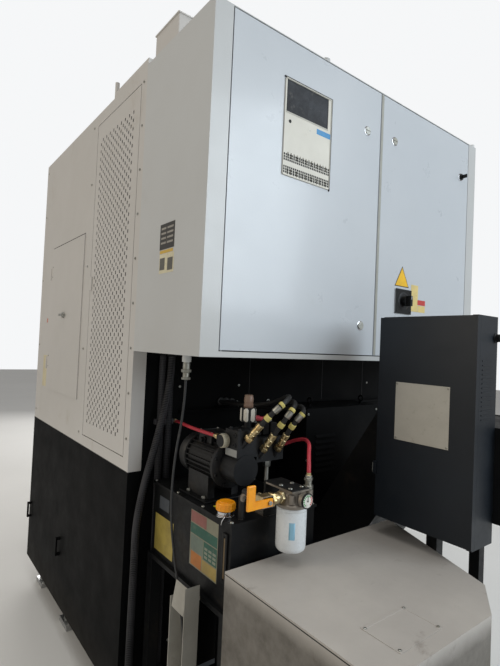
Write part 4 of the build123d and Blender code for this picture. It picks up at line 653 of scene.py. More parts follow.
class LATHE_OT_camera(LathePiece, bpy.types.Operator):
    """Camera at the rear right corner, at eye height."""

    bl_idname = "lathe.camera"
    bl_label = "Camera"

    def build(self):
        eye = (1.541, 2.499, 1.5)
        yaw, pitch, roll = 0.6556, 0.0272, 0.0440
        ahead = Vector((-math.sin(yaw) * math.cos(pitch), -math.cos(yaw) * math.cos(pitch), math.sin(pitch)))
        level = Vector((-math.cos(yaw), math.sin(yaw), 0))
        over = level.cross(ahead)
        across = level * math.cos(roll) + over * math.sin(roll)
        top = over * math.cos(roll) - level * math.sin(roll)
        lens = bpy.data.cameras.new("camera")
        lens.sensor_fit = "HORIZONTAL"
        lens.sensor_width = 36
        lens.lens = sizes().lens
        lens.clip_end = 60
        view = bpy.data.objects.new("camera", lens)
        bpy.context.collection.objects.link(view)
        facing = Matrix((across, top, -ahead)).transposed().to_4x4()
        view.matrix_world = Matrix.Translation(eye) @ facing
        bpy.context.scene.camera = view


class LATHE_OT_power_cable(LathePiece, bpy.types.Operator):
    """Power cable hanging from the cabinet into its trough, with its gland."""

    bl_idname = "lathe.power_cable"
    bl_label = "Power cable"

    def build(self):
        cable = hose("power_cable_run", CABLE_ROUTE, 0.004)
        cable.data.materials.append(sheath())
        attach(cable, "frame")
        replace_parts(cable, "power_cable")
        sleeve = place(turned(0.0046, [(0.0, 0.0085), (0.002, 0.0104), (0.020, 0.0104), (0.001, 0.0116),
                                       (0.030, 0.0116), (0.001, 0.0106), (0.004, 0.0106)]),
                       (0.778, 1.175, 1.3795))
        nut = place(hexagon(0.028, 0.010), (0.778, 1.175, 1.404))
        cap = place(hexagon(0.025, 0.008), (0.778, 1.175, 1.380))
        assemble("cable_gland_sleeve", paint([sleeve, nut, cap], zinc()))


class LATHE_OT_finishes(LathePiece, bpy.types.Operator):
    """Finishes of the solid model's own nodes."""

    bl_idname = "lathe.finishes"
    bl_label = "Finishes"

    def build(self):
        for material, nodes in NODE_FINISH.items():
            for node in nodes:
                for slot in bpy.data.objects[node].material_slots:
                    slot.material = material()
        for slot in bpy.data.objects["door_window"].material_slots:
            slot.material = clear("window glass", paint_rgb(176, 190, 194), 0.05)


class LATHE_OT_cabinet(LathePiece, bpy.types.Operator):
    """Door strip, lock rings, plate and labels on the side, top lug and foot seal."""

    bl_idname = "lathe.cabinet"
    bl_label = "Cabinet trim"

    def build(self):
        strip = plate((-0.0355, 1.2995, 1.484), (-0.0215, 1.3012, 2.568), 0.0004)
        assemble("door_edge_strip", paint([strip], label("door strip", paint_rgb(158, 158, 150))),
                 "cabinet_door_2")
        for name, x, z, body in (("lock_ring_1", 0.066, 2.387, "cabinet_door_1"),
                                 ("lock_ring_2", 0.066, 1.599, "cabinet_door_1"),
                                 ("lock_ring_3", -0.117, 2.400, "cabinet_door_2"),
                                 ("key_lock_ring", -0.665, 2.387, "cabinet_door_2")):
            ring = place(turned(0.0185, [(0.0012, 0.0185), (0.0006, 0.0172), (0.0, 0.0158),
                                         (-0.0006, 0.0156)]), (x, 1.3, z), REAR)
            assemble(name, paint([ring], chrome()), body)
        base = plate((SIDE, 1.001, 1.822), (0.8092, 1.106, 1.912), 0.0004, (RIGHT, 0.003, 0.0003))
        pieces = paint([base], label("dark name plate", paint_rgb(52, 50, 48)))
        bars = []
        for number in range(4):
            z = 1.892 - 0.017 * number
            bars.append(plate((0.8088, 1.010, z), (0.8094, 1.046, z + 0.007), 0.0002))
            bars.append(plate((0.8088, 1.054, z), (0.8094, 1.098, z + 0.007), 0.0002))
        pieces += paint(bars, label("plate field", paint_rgb(152, 148, 140)))
        assemble("cabinet_side_plate", pieces)
        pale = patch((SIDE, 1.003, 1.738), (0.8086, 1.108, 1.806), "pale label", paint_rgb(214, 206, 176))
        amber = patch((SIDE, 1.003, 1.808), (0.8087, 1.100, 1.819), "amber label", paint_rgb(206, 170, 74))
        squares = [plate((0.8082, 1.007, 1.750), (0.8089, 1.044, 1.792), 0.0002),
                   plate((0.8082, 1.064, 1.746), (0.8089, 1.102, 1.789), 0.0002)]
        assemble("cabinet_side_labels", pale + amber + paint(squares,
                label("grey field", paint_rgb(92, 90, 84))))
        lug = plate((0.288, 1.276, 2.5765), (0.314, 1.2935, 2.594), 0.004, (REAR, 0.006, 0.004))
        knob = place(turned(0.009, [(0.006, 0.010), (0.008, 0.010), (0.003, 0.007)]), (-0.795, 1.285, 2.5768))
        assemble("cabinet_top_lug", paint([lug, knob], enamel()))
        gasket = plate((-0.735, 1.2905, 1.4785), (0.735, 1.2935, 1.4815), 0.0004)
        assemble("door_foot_seal", paint([gasket], rubber()))


class LATHE_OT_cooler(LathePiece, bpy.types.Operator):
    """Filter mat, frame, dark strips of painted shade in the gaps at its top and side, button, plain blue
    field and vents of the door cooler.
    """

    bl_idname = "lathe.cooler"
    bl_label = "Door cooler"

    def build(self):
        mat = plate((0.3005, 1.3012, 2.3165), (0.5065, 1.3041, 2.4275), 0.0006, (REAR, 0.0025, 0.0006))
        paint([mat], woven("filter mesh", paint_rgb(40, 42, 46), paint_rgb(72, 76, 82), 0.0034, ("X", "Z")))
        rails = [
            plate((0.283, 1.3045, 2.4275), (0.511, 1.3070, 2.4322), 0.0008),
            plate((0.2825, 1.3045, 2.099), (0.2855, 1.3068, 2.4315), 0.0008),
            plate((0.299, 1.3045, 2.3105), (0.509, 1.3062, 2.3155), 0.0008),
        ]
        paint(rails, label("cooler frame", paint_rgb(186, 184, 174)))
        # These two dark rubber strips at the cooler's top and side stand for painted shade in the gap around
        # it.
        seal = paint([plate((0.2765, 1.2995, 2.089), (0.2807, 1.3042, 2.4375), 0.0008),
                      plate((0.281, 1.2995, 2.4332), (0.517, 1.3042, 2.4375), 0.0008)], rubber())
        button = paint([place(turned(0.0058, [(0.0015, 0.0058), (0.0008, 0.0046), (-0.001, 0.0043)], 24),
                              (0.488, 1.3048, 2.284), REAR)], dark_steel())
        pin = paint([place(turned(0.0022, [(0.0012, 0.0022), (0.0004, 0.0015)], 16), (0.392, 1.3048, 2.281),
                           REAR)], zinc())
        field = patch((0.285, 1.3047, 2.281), (0.357, 1.3055, 2.3005), "blue field", paint_rgb(52, 140, 196))
        assemble("cooler_face", [mat] + rails + seal + button + pin + field, "cabinet_door_1")
        vents = []
        for height, tiers in ((2.144, 3), (2.1005, 3)):
            hole = plate((0.2860, 1.3046, height), (0.2926, 1.3052, height + 0.0072), 0.0002)
            vents.append(row(row(hole, 25, (0.0091, 0, 0)), tiers, (0, 0, 0.0092)))
        assemble("cooler_vents", paint(vents, black_plastic()), "cabinet_door_1")


class LATHE_OT_switch(LathePiece, bpy.types.Operator):
    """Main switch ring, its screws and pointer, the bare triangle and plain tags."""

    bl_idname = "lathe.switch"
    bl_label = "Main switch"

    def build(self):
        ring = place(turned(0.040, [(0.001, 0.040), (0.001, 0.037), (0.0, 0.030), (-0.001, 0.029)], 40),
                     (-0.213, 1.3058, 1.722), REAR)
        face = plate((-0.2705, 1.3040, 1.6675), (-0.1555, 1.3062, 1.7745), 0.0008)
        heads = heads_at([(x, 1.3059, z) for z in (1.680, 1.764) for x in (-0.260, -0.166)], REAR, 0.0042,
                         0.002)
        assemble("switch_ring", paint([face], black_plastic()) + paint([ring], dark_steel())
                 + paint(heads, dark_steel()), "cabinet_door_2")
        pointer = plate((-0.2145, 1.3455, 1.728), (-0.2115, 1.3466, 1.7415), 0.0004)
        assemble("switch_pointer", paint([pointer], enamel()), "main_switch")
        sides = []
        for wide, thick, material in ((0.060, 0.0007, label("black border", paint_rgb(24, 24, 24))),
                                      (0.0535, 0.0011, label("signal yellow", tuple(colours().warning)))):
            clear_selection()
            bpy.ops.mesh.primitive_cylinder_add(vertices=3, radius=wide, depth=thick, location=(0, 0, 0))
            piece = bpy.context.object
            edit_all()
            bpy.ops.mesh.bevel(offset=0.0002, segments=1, affect="EDGES")
            bpy.ops.object.mode_set(mode="OBJECT")
            piece.matrix_world = Matrix.Translation((-0.2035, 1.3 + thick / 2,
                                                     1.815)) @ Matrix.Rotation(math.radians(90), 4, "X")
            sides += paint([settle(piece)], material)
        assemble("bare_triangle", sides, "cabinet_door_2")
        tall = patch((-0.328, 1.2998, 1.684), (-0.274, 1.3006, 1.803), "buff tag", paint_rgb(222, 200, 132))
        wide = patch((-0.387, 1.2998, 1.684), (-0.330, 1.3006, 1.714), "buff tag", paint_rgb(222, 200, 132))
        red = patch((-0.387, 1.2998, 1.716), (-0.326, 1.3007, 1.739), "red tag", paint_rgb(196, 58, 56))
        assemble("switch_tags", tall + wide + red, "cabinet_door_2")


class LATHE_OT_side_panels(LathePiece, bpy.types.Operator):
    """Screws, joint strips, latch plate and plain labels on the side panels."""

    bl_idname = "lathe.side_panels"
    bl_label = "Side panel trim"

    def build(self):
        spots = [(SIDE, 0.7935, z / 1000) for z in range(1120, 2540, 175)]
        screws("guard_margin_screws", spots, RIGHT, sizes().screw, 0.003, zinc())
        spots = [(SIDE, y, z) for y in (-0.612, 0.228) for z in (1.05, 1.45, 1.85, 2.25, 2.53)]
        screws("side_panel_screws", spots, RIGHT, sizes().screw, 0.003, zinc())
        spots = [(-SIDE, y, z) for y in (-0.60, -0.12, 0.36, 0.79) for z in (1.05, 1.55, 2.05, 2.53)]
        screws("left_panel_screws", spots, LEFT, sizes().screw, 0.003, zinc())
        seat = plate((0.8125, -0.137, 1.595), (0.8129, -0.088, 1.649), 0.0001)
        assemble("latch_seat", paint([seat], dark_steel()), "access_door")
        tag = patch((SIDE, -0.500, 1.205), (0.8085, -0.418, 1.390), "buff strip", paint_rgb(204, 194, 160))
        spot = patch((SIDE, -0.470, 1.585), (0.8085, -0.446, 1.610), "faded red spot",
                     paint_rgb(196, 128, 110))
        assemble("side_strip_labels", tag + spot)
        seams = [plate((0.8072, -0.0015 - 0.64, 0.9945), (0.8084, 0.819, 0.9975), 0.0004),
                 plate((-0.8084, -0.6385, 0.9945), (-0.8072, 0.819, 0.9975), 0.0004)]
        assemble("panel_joint_strips", paint(seams, rubber()))
        hinge = heads_at([(0.8128, -0.375, z) for z in (1.330, 1.390, 1.850, 1.910)], RIGHT, 0.004, 0.002)
        assemble("access_hinge_screws", paint(hinge, zinc()), "access_door")
        # Dark rubber strip along the access door's top edge: painted shade in the gap above the door.
        edge = plate((0.8076, -0.398, 2.0185), (0.8092, 0.174, 2.0235), 0.0004)
        assemble("access_top_gap_shade", paint([edge], rubber()))
        vents = row(plate((-0.8095, 0.18, 1.20), (-0.8072, 0.46, 1.206), 0.0008), 16, (0, 0, 0.022))
        assemble("left_vent_ribs", paint([vents], body_paint()))


HOSE_ROUTES = [
    [(0.596, 1.312, 1.214), (0.569, 1.354, 1.276), (0.520, 1.384, 1.326), (0.452, 1.325, 1.336),
     (0.412, 1.225, 1.304),
     (0.398, 1.120, 1.275), (0.403, 1.010, 1.260), (0.400, 0.912, 1.253), (0.400, 0.820, 1.253)],
    [(0.532, 1.311, 1.176), (0.511, 1.360, 1.254), (0.470, 1.372, 1.305), (0.415, 1.305, 1.314),
     (0.385, 1.215, 1.294),
     (0.370, 1.122, 1.270), (0.368, 1.015, 1.258), (0.371, 0.912, 1.251), (0.371, 0.820, 1.251)],
    [(0.472, 1.312, 1.173), (0.465, 1.361, 1.248), (0.440, 1.385, 1.284), (0.392, 1.322, 1.298),
     (0.362, 1.225, 1.276),
     (0.342, 1.115, 1.256), (0.338, 1.010, 1.250), (0.341, 0.912, 1.248), (0.341, 0.820, 1.248)],
]
RED_ROUTES = [
    [(0.622, 0.820, 1.184), (0.622, 0.880, 1.185), (0.650, 0.975, 1.189), (0.656, 1.080, 1.189),
     (0.652, 1.145, 1.188),
     (0.652, 1.193, 1.188)],
    [(0.428, 1.250, 1.150), (0.406, 1.250, 1.150), (0.384, 1.286, 1.170), (0.392, 1.345, 1.186),
     (0.428, 1.402, 1.184),
     (0.476, 1.448, 1.170), (0.511, 1.486, 1.134), (0.511, 1.486, 1.098)],
]


def along_route(route, share):
    """Place and heading on a hose's own spline, at a share of its points from the start."""
    line = hose("measure", route, 0)
    mesh = bpy.data.meshes.new_from_object(line)
    spots = [vertex.co.copy() for vertex in mesh.vertices]
    bpy.data.objects.remove(line)
    number = min(int(share * (len(spots) - 1)), len(spots) - 2)
    return spots[number], (spots[number + 1] - spots[number]).normalized()


class LATHE_OT_hoses(LathePiece, bpy.types.Operator):
    """Hydraulic hoses with their crimped ends, collars, tags, nuts, grommets and port fitting."""

    bl_idname = "lathe.hoses"
    bl_label = "Hydraulic hoses"

    def build(self):
        black = paint([as_mesh(hose("hose", route, 0.0088)) for route in HOSE_ROUTES], rubber())
        red = paint([as_mesh(hose("hose", route, 0.0062)) for route in RED_ROUTES], red_rubber())
        run = assemble("hydraulic_hose_runs", black + red)
        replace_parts(run, "hydraulic_hoses")
        wide = sizes().ferrule
        crimps, tags, collars, nuts, grommets = [], [], [], [], []
        for route in HOSE_ROUTES:
            start, towards = Vector(route[0]), (Vector(route[1]) - Vector(route[0])).normalized()
            nuts.append(place(hexagon(0.0265, 0.018), start - towards * 0.032, towards))
            nuts.append(place(turned(0.0105, [(0.002, 0.0118), (0.010, 0.0118), (0.002, 0.0100)], 24),
                              start - towards * 0.015, towards))
            crimps.append(place(turned(wide * 0.8, [(0.002, wide), (0.016, wide), (0.001, wide * 0.9),
                                                    (0.005, wide * 0.9), (0.001, wide),
                                                    (0.014, wide), (0.002, wide * 0.78)], 24),
                                start - towards * 0.001, towards))
            for share, length, held in ((0.075, 0.016, tags), (0.115, 0.024, collars), (0.165, 0.010, tags)):
                spot, heading = along_route(route, share)
                held.append(place(turned(wide * 0.84, [(0.001, wide * 0.9), (length, wide * 0.9),
                                                       (0.001, wide * 0.78)], 24), spot, heading))
            grommets.append(place(turned(0.016, [(0.002, 0.017), (0.008, 0.017), (0.002, 0.012)], 24),
                                  route[-1], REAR))
        assemble("hose_crimp_ends", paint(crimps, brass()))
        assemble("hose_collars", paint(collars, zinc()))
        assemble("hose_tags", paint(tags, label("straw tag", paint_rgb(214, 200, 118), 0.8)))
        assemble("hose_nuts", paint(nuts, brass()))
        assemble("hose_grommets", paint(grommets, rubber()))
        reds = []
        for spot, heading in ((RED_ROUTES[0][-1], FRONT), (RED_ROUTES[0][0], REAR), (RED_ROUTES[1][0], LEFT),
                              (RED_ROUTES[1][-1], UP)):
            reds.append(place(turned(0.0082, [(0.002, 0.0095), (0.012, 0.0095), (0.002, 0.0078),
                                              (0.006, 0.0078)], 20), spot, heading))
        assemble("red_hose_ends", paint(reds, brass()))
        elbow = place(turned(0.0095, [(0.001, 0.0108), (0.040, 0.0108), (0.001, 0.0095)], 24),
                      (0.511, 1.486, 1.070))
        assemble("port_fitting", paint([elbow, place(hexagon(0.027, 0.012), (0.511, 1.486, 1.0705)),
                                        place(hexagon(0.024, 0.009), (0.511, 1.486, 1.096))], zinc()))


class LATHE_OT_hydraulic_unit(LathePiece, bpy.types.Operator):
    """Labels, relief valve, knob, bolts, motor cowl and valve coils of the hydraulic unit."""

    bl_idname = "lathe.hydraulic_unit"
    bl_label = "Hydraulic unit"

    def build(self):
        x = 0.712
        aged = (120, 112, 90)
        fields = (
            ("slate field", (70, 74, 80), 0.86, aged, (0.911, 0.985), (0.876, 0.922), 0.0006),
            ("worn yellow field", (166, 148, 74), 0.7, (120, 110, 72), (0.882, 1.024), (0.717, 0.851),
             0.0006),
            ("pale sheet", (128, 126, 106), 0.8, aged, (1.141, 1.306), (0.760, 0.942), 0.0006),
            ("faded red field", (140, 84, 76), 0.8, aged, (1.143, 1.238), (0.903, 0.940), 0.0009),
            ("green field", (28, 86, 70), 0.8, aged, (1.143, 1.303), (0.866, 0.899), 0.0009),
            ("grey green field", (104, 118, 106), 0.8, aged, (1.146, 1.222), (0.812, 0.862), 0.0009),
            ("green field", (28, 86, 70), 0.8, aged, (1.226, 1.303), (0.806, 0.862), 0.0009),
            ("orange field", (184, 112, 36), 0.8, aged, (1.150, 1.215), (0.764, 0.808), 0.0009),
            ("straw field", (164, 142, 76), 0.8, aged, (1.219, 1.303), (0.764, 0.802), 0.0009),
        )
        parts = []
        for name, tone, fade, age, wide, high, proud in fields:
            field = plate((x - 0.0002, wide[0], high[0]), (x + proud, wide[1], high[1]), 0.0002)
            parts += paint([field], label(name, paint_rgb(*tone), fade, paint_rgb(*age)))
        assemble("reservoir_labels", parts)
        cells = [plate((x + 0.0004, 1.232 + 0.024 * i, 0.812 + 0.013 * k),
                       (x + 0.0011, 1.250 + 0.024 * i, 0.820 + 0.013 * k), 0.0001) for i in range(3)
                 for k in range(3)]
        assemble("reservoir_label_cells", paint(cells, label("cell field", paint_rgb(134, 138, 122))))
        relief = place(hexagon(0.050, 0.0455), (0.565, 1.240, 1.2422), UP, 0.2)
        crown = place(turned(0.0150, [(0.002, 0.0165), (0.012, 0.0165), (0.001, 0.0150), (0.003, 0.0150),
                                      (0.001, 0.0160), (0.016, 0.0160), (0.002, 0.0145),
                                      (0.006, 0.0145), (0.001, 0.0125)], 28), (0.565, 1.240, 1.2876))
        assemble("relief_valve", paint([relief], label("worn zinc nut", paint_rgb(206, 202, 192), 0.88))
                 + paint([crown], label("worn bronze cap", paint_rgb(134, 108, 92), 0.85)))
        bleed = turned(0.008, [(0.003, 0.0095), (0.012, 0.0095), (0.001, 0.0075), (0.012, 0.0075),
                               (0.001, 0.010), (0.006, 0.010), (0.001, 0.008)], 20)
        place(bleed, (0.5385, 1.244, 1.252), (-0.7, 0.35, -0.1))
        assemble("bleed_fitting", paint([bleed], label("worn red fitting", paint_rgb(196, 60, 78), 0.8)))
        tank_line = [place(hexagon(0.0235, 0.026), (0.490, 1.260, 1.0845)),
                     place(hexagon(0.0235, 0.016), (0.490, 1.260, 0.9665)),
                     place(turned(0.0078, [(0.100, 0.0078)], 20), (0.490, 1.260, 0.984))]
        assemble("tank_line_nuts", paint(tank_line, zinc()))
        knob = turned(0.0205, [(0.003, 0.0225), (0.020, 0.0225), (0.002, 0.020), (0.0, 0.012),
                               (-0.004, 0.011)], 36)
        place(knob, (0.638, 1.222, 1.180), RIGHT)
        grips = []
        for number in range(18):
            turn = math.tau * number / 18
            rib = place(turned(0.0012, [(0.018, 0.0012)], 6),
                        (0.641, 1.222 + 0.0225 * math.cos(turn), 1.180 + 0.0225 * math.sin(turn)), RIGHT)
            grips.append(rib)
        assemble("adjusting_knob", paint([knob] + grips,
                                         label("worn zinc knob", paint_rgb(178, 172, 152), 0.85)))
        tops = [(px, py, 1.2195) for py in (1.228, 1.275) for px in (0.572, 0.625)]
        screws("block_screws", tops, UP, 0.006, 0.006, dark_steel())
        faces = [(0.6375, 1.270, 1.172), (0.6375, 1.270, 1.205)]
        screws("block_side_plugs", faces, RIGHT, 0.0075, 0.004, dark_steel())
        tag = plate((0.6378, 1.219, 1.1335), (0.6388, 1.283, 1.157), 0.0003)
        assemble("block_tag", paint([tag], label("grey tag", paint_rgb(150, 152, 150))))
        z = 1.198
        coils = [plate((0.452 + 0.034 * n, 1.218, z - 0.006), (0.480 + 0.034 * n, 1.262, z + 0.038), 0.004)
                 for n in range(3)]
        assemble("valve_coils", paint(coils, black_plastic()))
        plugs = [place(turned(0.007, [(0.012, 0.007), (0.002, 0.005)], 20),
                       (0.466 + 0.034 * n, 1.240, 1.236)) for n in range(3)]
        assemble("coil_nuts", paint(plugs, zinc()))
        cowl = turned(0.0705, [(0.002, 0.0735), (0.036, 0.0735), (0.002, 0.072)], 48)
        place(cowl, (0.603, 0.9735, 1.090), REAR)
        holes = [place(turned(0.0735 - 0.014 * n, [(0.0012, 0.0735 - 0.014 * n), (0.0, 0.0695 - 0.014 * n),
                                                   (-0.0012, 0.0695 - 0.014 * n)], 40),
                       (0.603, 0.9738, 1.090), FRONT) for n in range(1, 5)]
        assemble("fan_cowl", paint([cowl] + holes, motor_paint()))
        lid = plate((0.5545, 1.046, 1.1815), (0.6415, 1.134, 1.187), 0.002, (UP, 0.008, 0.001))
        corners = heads_at([(px, py, 1.187) for py in (1.053, 1.127) for px in (0.561, 0.635)], UP, 0.004,
                           0.003)
        assemble("terminal_box_lid", paint([lid], motor_paint()) + paint(corners, zinc()))
        gland = place(turned(0.011, [(0.008, 0.011), (0.001, 0.009), (0.012, 0.009)], 20),
                      (0.638, 1.090, 1.160), RIGHT)
        assemble("terminal_gland", paint([gland], black_plastic()))
        ring = place(turned(0.0785, [(0.0, 0.0785), (0.012, 0.0785), (0.001, 0.076)], 48),
                     (0.603, 1.1935, 1.090), REAR)
        assemble("pump_adapter_ring", paint([ring], motor_paint()))
        around = [(0.603 + 0.069 * math.cos(math.tau * n / 8 + 0.39), 1.2064, 1.090
                   + 0.069 * math.sin(math.tau * n / 8 + 0.39)) for n in range(8)]
        screws("pump_flange_screws", around, REAR, 0.006, 0.006, dark_steel())
        edge = [(px, py, 0.9658) for px in (0.368, 0.538, 0.708) for py in (0.870, 1.040, 1.205, 1.368)]
        screws("reservoir_lid_screws", edge, UP, 0.006, 0.004, zinc())
        tray = plate((0.520, 1.010, 0.966), (0.690, 1.190, 0.972), 0.002)
        feet = heads_at([(px, py, 0.972) for py in (1.050, 1.150) for px in (0.536, 0.672)], UP, 0.0075,
                        0.008, 6)
        assemble("motor_tray", paint([tray], stand_paint()) + paint(feet, zinc()))
        level = plate((x - 0.0002, 1.335, 0.780), (x + 0.006, 1.360, 0.930), 0.003, (RIGHT, 0.006, 0.002))
        glass = plate((x + 0.003, 1.343, 0.795), (x + 0.0055, 1.352, 0.915), 0.001)
        assemble("oil_level_gauge", paint([level], black_plastic())
                 + paint([glass], label("oil amber", paint_rgb(96, 76, 40))))


class LATHE_OT_filter(LathePiece, bpy.types.Operator):
    """Spin-on filter, gauge, ball valve fittings and the filler cap's breather."""

    bl_idname = "lathe.filter"
    bl_label = "Filter and filler"

    def build(self):
        can = turned(0.028, [(0.0005, 0.034), (0.003, 0.040), (0.004, 0.0438), (0.006, 0.0456),
                             (0.006, 0.046), (0.100, 0.046),
                             (0.003, 0.0452), (0.002, 0.0464), (0.006, 0.0464), (0.002, 0.045)], 64)
        place(can, (0.555, 1.463, 0.8885))
        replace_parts(assemble("filter_can", paint([can], enamel())), "oil_filter")
        band = turned(0.0463, [(0.050, 0.0463)], 64)
        place(band, (0.555, 1.463, 0.934))
        choose_faces(band, lambda at,
                     normal: abs(normal.z) > 0.5 or not 0.021 < at.x - 0.555 < 0.037 or at.y < 1.463)
        bpy.ops.mesh.delete(type="FACE")
        bpy.ops.object.mode_set(mode="OBJECT")
        shell = band.modifiers.new("Film", "SOLIDIFY")
        shell.thickness = 0.0002
        bpy.ops.object.modifier_apply(modifier=shell.name)
        assemble("filter_band", paint([band], label("pale blue field", paint_rgb(140, 188, 212), 0.95,
                                                    paint_rgb(190, 204, 210))))
        collar = turned(0.0465, [(0.001, 0.0478), (0.007, 0.0478), (0.002, 0.0455), (0.004, 0.0425),
                                 (0.006, 0.0410), (0.020, 0.0410), (0.004, 0.038)], 48)
        place(collar, (0.555, 1.463, 1.0225))
        lobes = [place(turned(0.012, [(0.001, 0.013), (0.026, 0.013), (0.002, 0.010)], 20),
                       (0.555 + 0.034 * a, 1.463 + 0.034 * b, 1.036)) for a,
                 b in ((0.7, 0.7), (-0.9, 0.0), (0.0, 0.95))]
        assemble("filter_head_ring", paint([collar] + lobes, cast_alloy()))
        heads = [(px, py, 1.0755) for py in (1.436, 1.478) for px in (0.532, 0.578)]
        screws("bracket_screws", heads, UP, 0.007, 0.005, zinc())
        top = plate((0.5195, 1.3715, 1.0755), (0.5905, 1.5005, 1.0785), 0.0008)
        back = plate((0.5192, 1.3712, 0.9665), (0.5908, 1.3785, 1.0775), 0.0008)
        assemble("bracket_cover", paint([top, back], black_plastic()))
        sleeve = place(turned(0.0098, [(0.070, 0.0098)], 24), (0.664, 1.354, 0.967))
        upper = place(turned(0.0098, [(0.078, 0.0098)], 24), (0.664, 1.365, 1.053), REAR)
        assemble("return_hose_cover", paint([sleeve, upper], rubber()))
        case = place(turned(0.0200, [(0.014, 0.0205), (0.001, 0.0228), (0.005, 0.0228), (0.001, 0.0212),
                                     (0.0, 0.0200), (-0.002, 0.0197)], 40), (0.557, 1.5128, 1.053), REAR)
        dial = place(turned(0.0194, [(0.0005, 0.0194)], 40), (0.557, 1.5318, 1.053), REAR)
        arcs = []
        for number in range(14):
            turn = math.radians(225 - 20.8 * number)
            tick = plate((-0.0015, -0.0026, -0.0006), (0.0015, 0.0026, 0.0), 0.0001)
            spot = Matrix.Translation((0.557 - 0.0155 * math.cos(turn), 1.5328, 1.053
                                       + 0.0155 * math.sin(turn)))
            aim = Matrix.Rotation(turn - math.pi / 2, 4, "Y") @ Matrix.Rotation(math.radians(-90), 4, "X")
            tick.matrix_world = spot @ aim
            arcs += paint([settle(tick)], red_plastic() if number > 8 else green_plastic())
        hand = paint([plate((0.5560, 1.5324, 1.050), (0.5580, 1.5331, 1.0665), 0.0002)], black_plastic())
        hub = paint([place(turned(0.0028, [(0.0012, 0.0022)], 16), (0.557, 1.5322, 1.053), REAR)],
                    black_plastic())
        assemble("filter_gauge", paint([case], black_plastic())
                 + paint([dial], label("dial face", paint_rgb(232, 230, 222))) + arcs + hand + hub)
        nuts = [place(hexagon(0.032, 0.012), (0.596, 1.463, 1.053), RIGHT),
                place(turned(0.0150, [(0.003, 0.0162), (0.016, 0.0162), (0.003, 0.0150)], 28),
                      (0.610, 1.463, 1.053), RIGHT),
                place(hexagon(0.036, 0.012), (0.6325, 1.463, 1.053), RIGHT),
                place(hexagon(0.030, 0.012), (0.664, 1.4465, 1.053), FRONT)]
        body = plate((0.6432, 1.4462, 1.0362), (0.6848, 1.4790, 1.0698), 0.003)
        assemble("ball_valve_nuts", paint(nuts + [body], brass()))
        stem = place(hexagon(0.012, 0.006), (0.664, 1.4862, 1.053), REAR)
        assemble("lever_nut", paint([stem], zinc()), "valve_lever")
        neck = place(turned(0.0275, [(0.004, 0.0285), (0.003, 0.0285), (0.001, 0.0268), (0.008, 0.0268)], 40),
                     (0.688, 1.305, 0.966))
        hook = as_mesh(hose("chain", [(0.706, 1.330, 0.976), (0.716, 1.344, 0.980), (0.724, 1.338, 0.966),
                                      (0.7185, 1.328, 0.950)], 0.0022))
        ring = place(turned(0.030, [(0.001, 0.0305), (0.002, 0.0305), (0.001, 0.029)], 40),
                     (0.688, 1.305, 0.9665))
        assemble("breather_neck", paint([neck, ring, hook], chrome()))
        flutes = []
        for number in range(16):
            turn = math.tau * number / 16
            flutes.append(place(turned(0.0020, [(0.014, 0.0020), (0.001, 0.0012)], 8),
                                (0.688 + 0.0297 * math.cos(turn), 1.305 + 0.0297 * math.sin(turn), 0.988)))
        crown = place(turned(0.022, [(0.003, 0.020)], 40), (0.688, 1.305, 1.0085))
        assemble("filler_cap_grips", paint(flutes + [crown], orange_plastic()), "filler_cap")
        tag = paint([plate((0.640, 1.216, 0.9658), (0.676, 1.262, 0.9668), 0.0003)],
                    label("lime tag", paint_rgb(214, 206, 60), 0.8))
        assemble("filler_tag", tag)
        grip = plate((0.7165, 1.4780, 1.0405), (0.7435, 1.4872, 1.1105), 0.0025)
        assemble("lever_grip", paint([grip], orange_plastic()), "valve_lever")


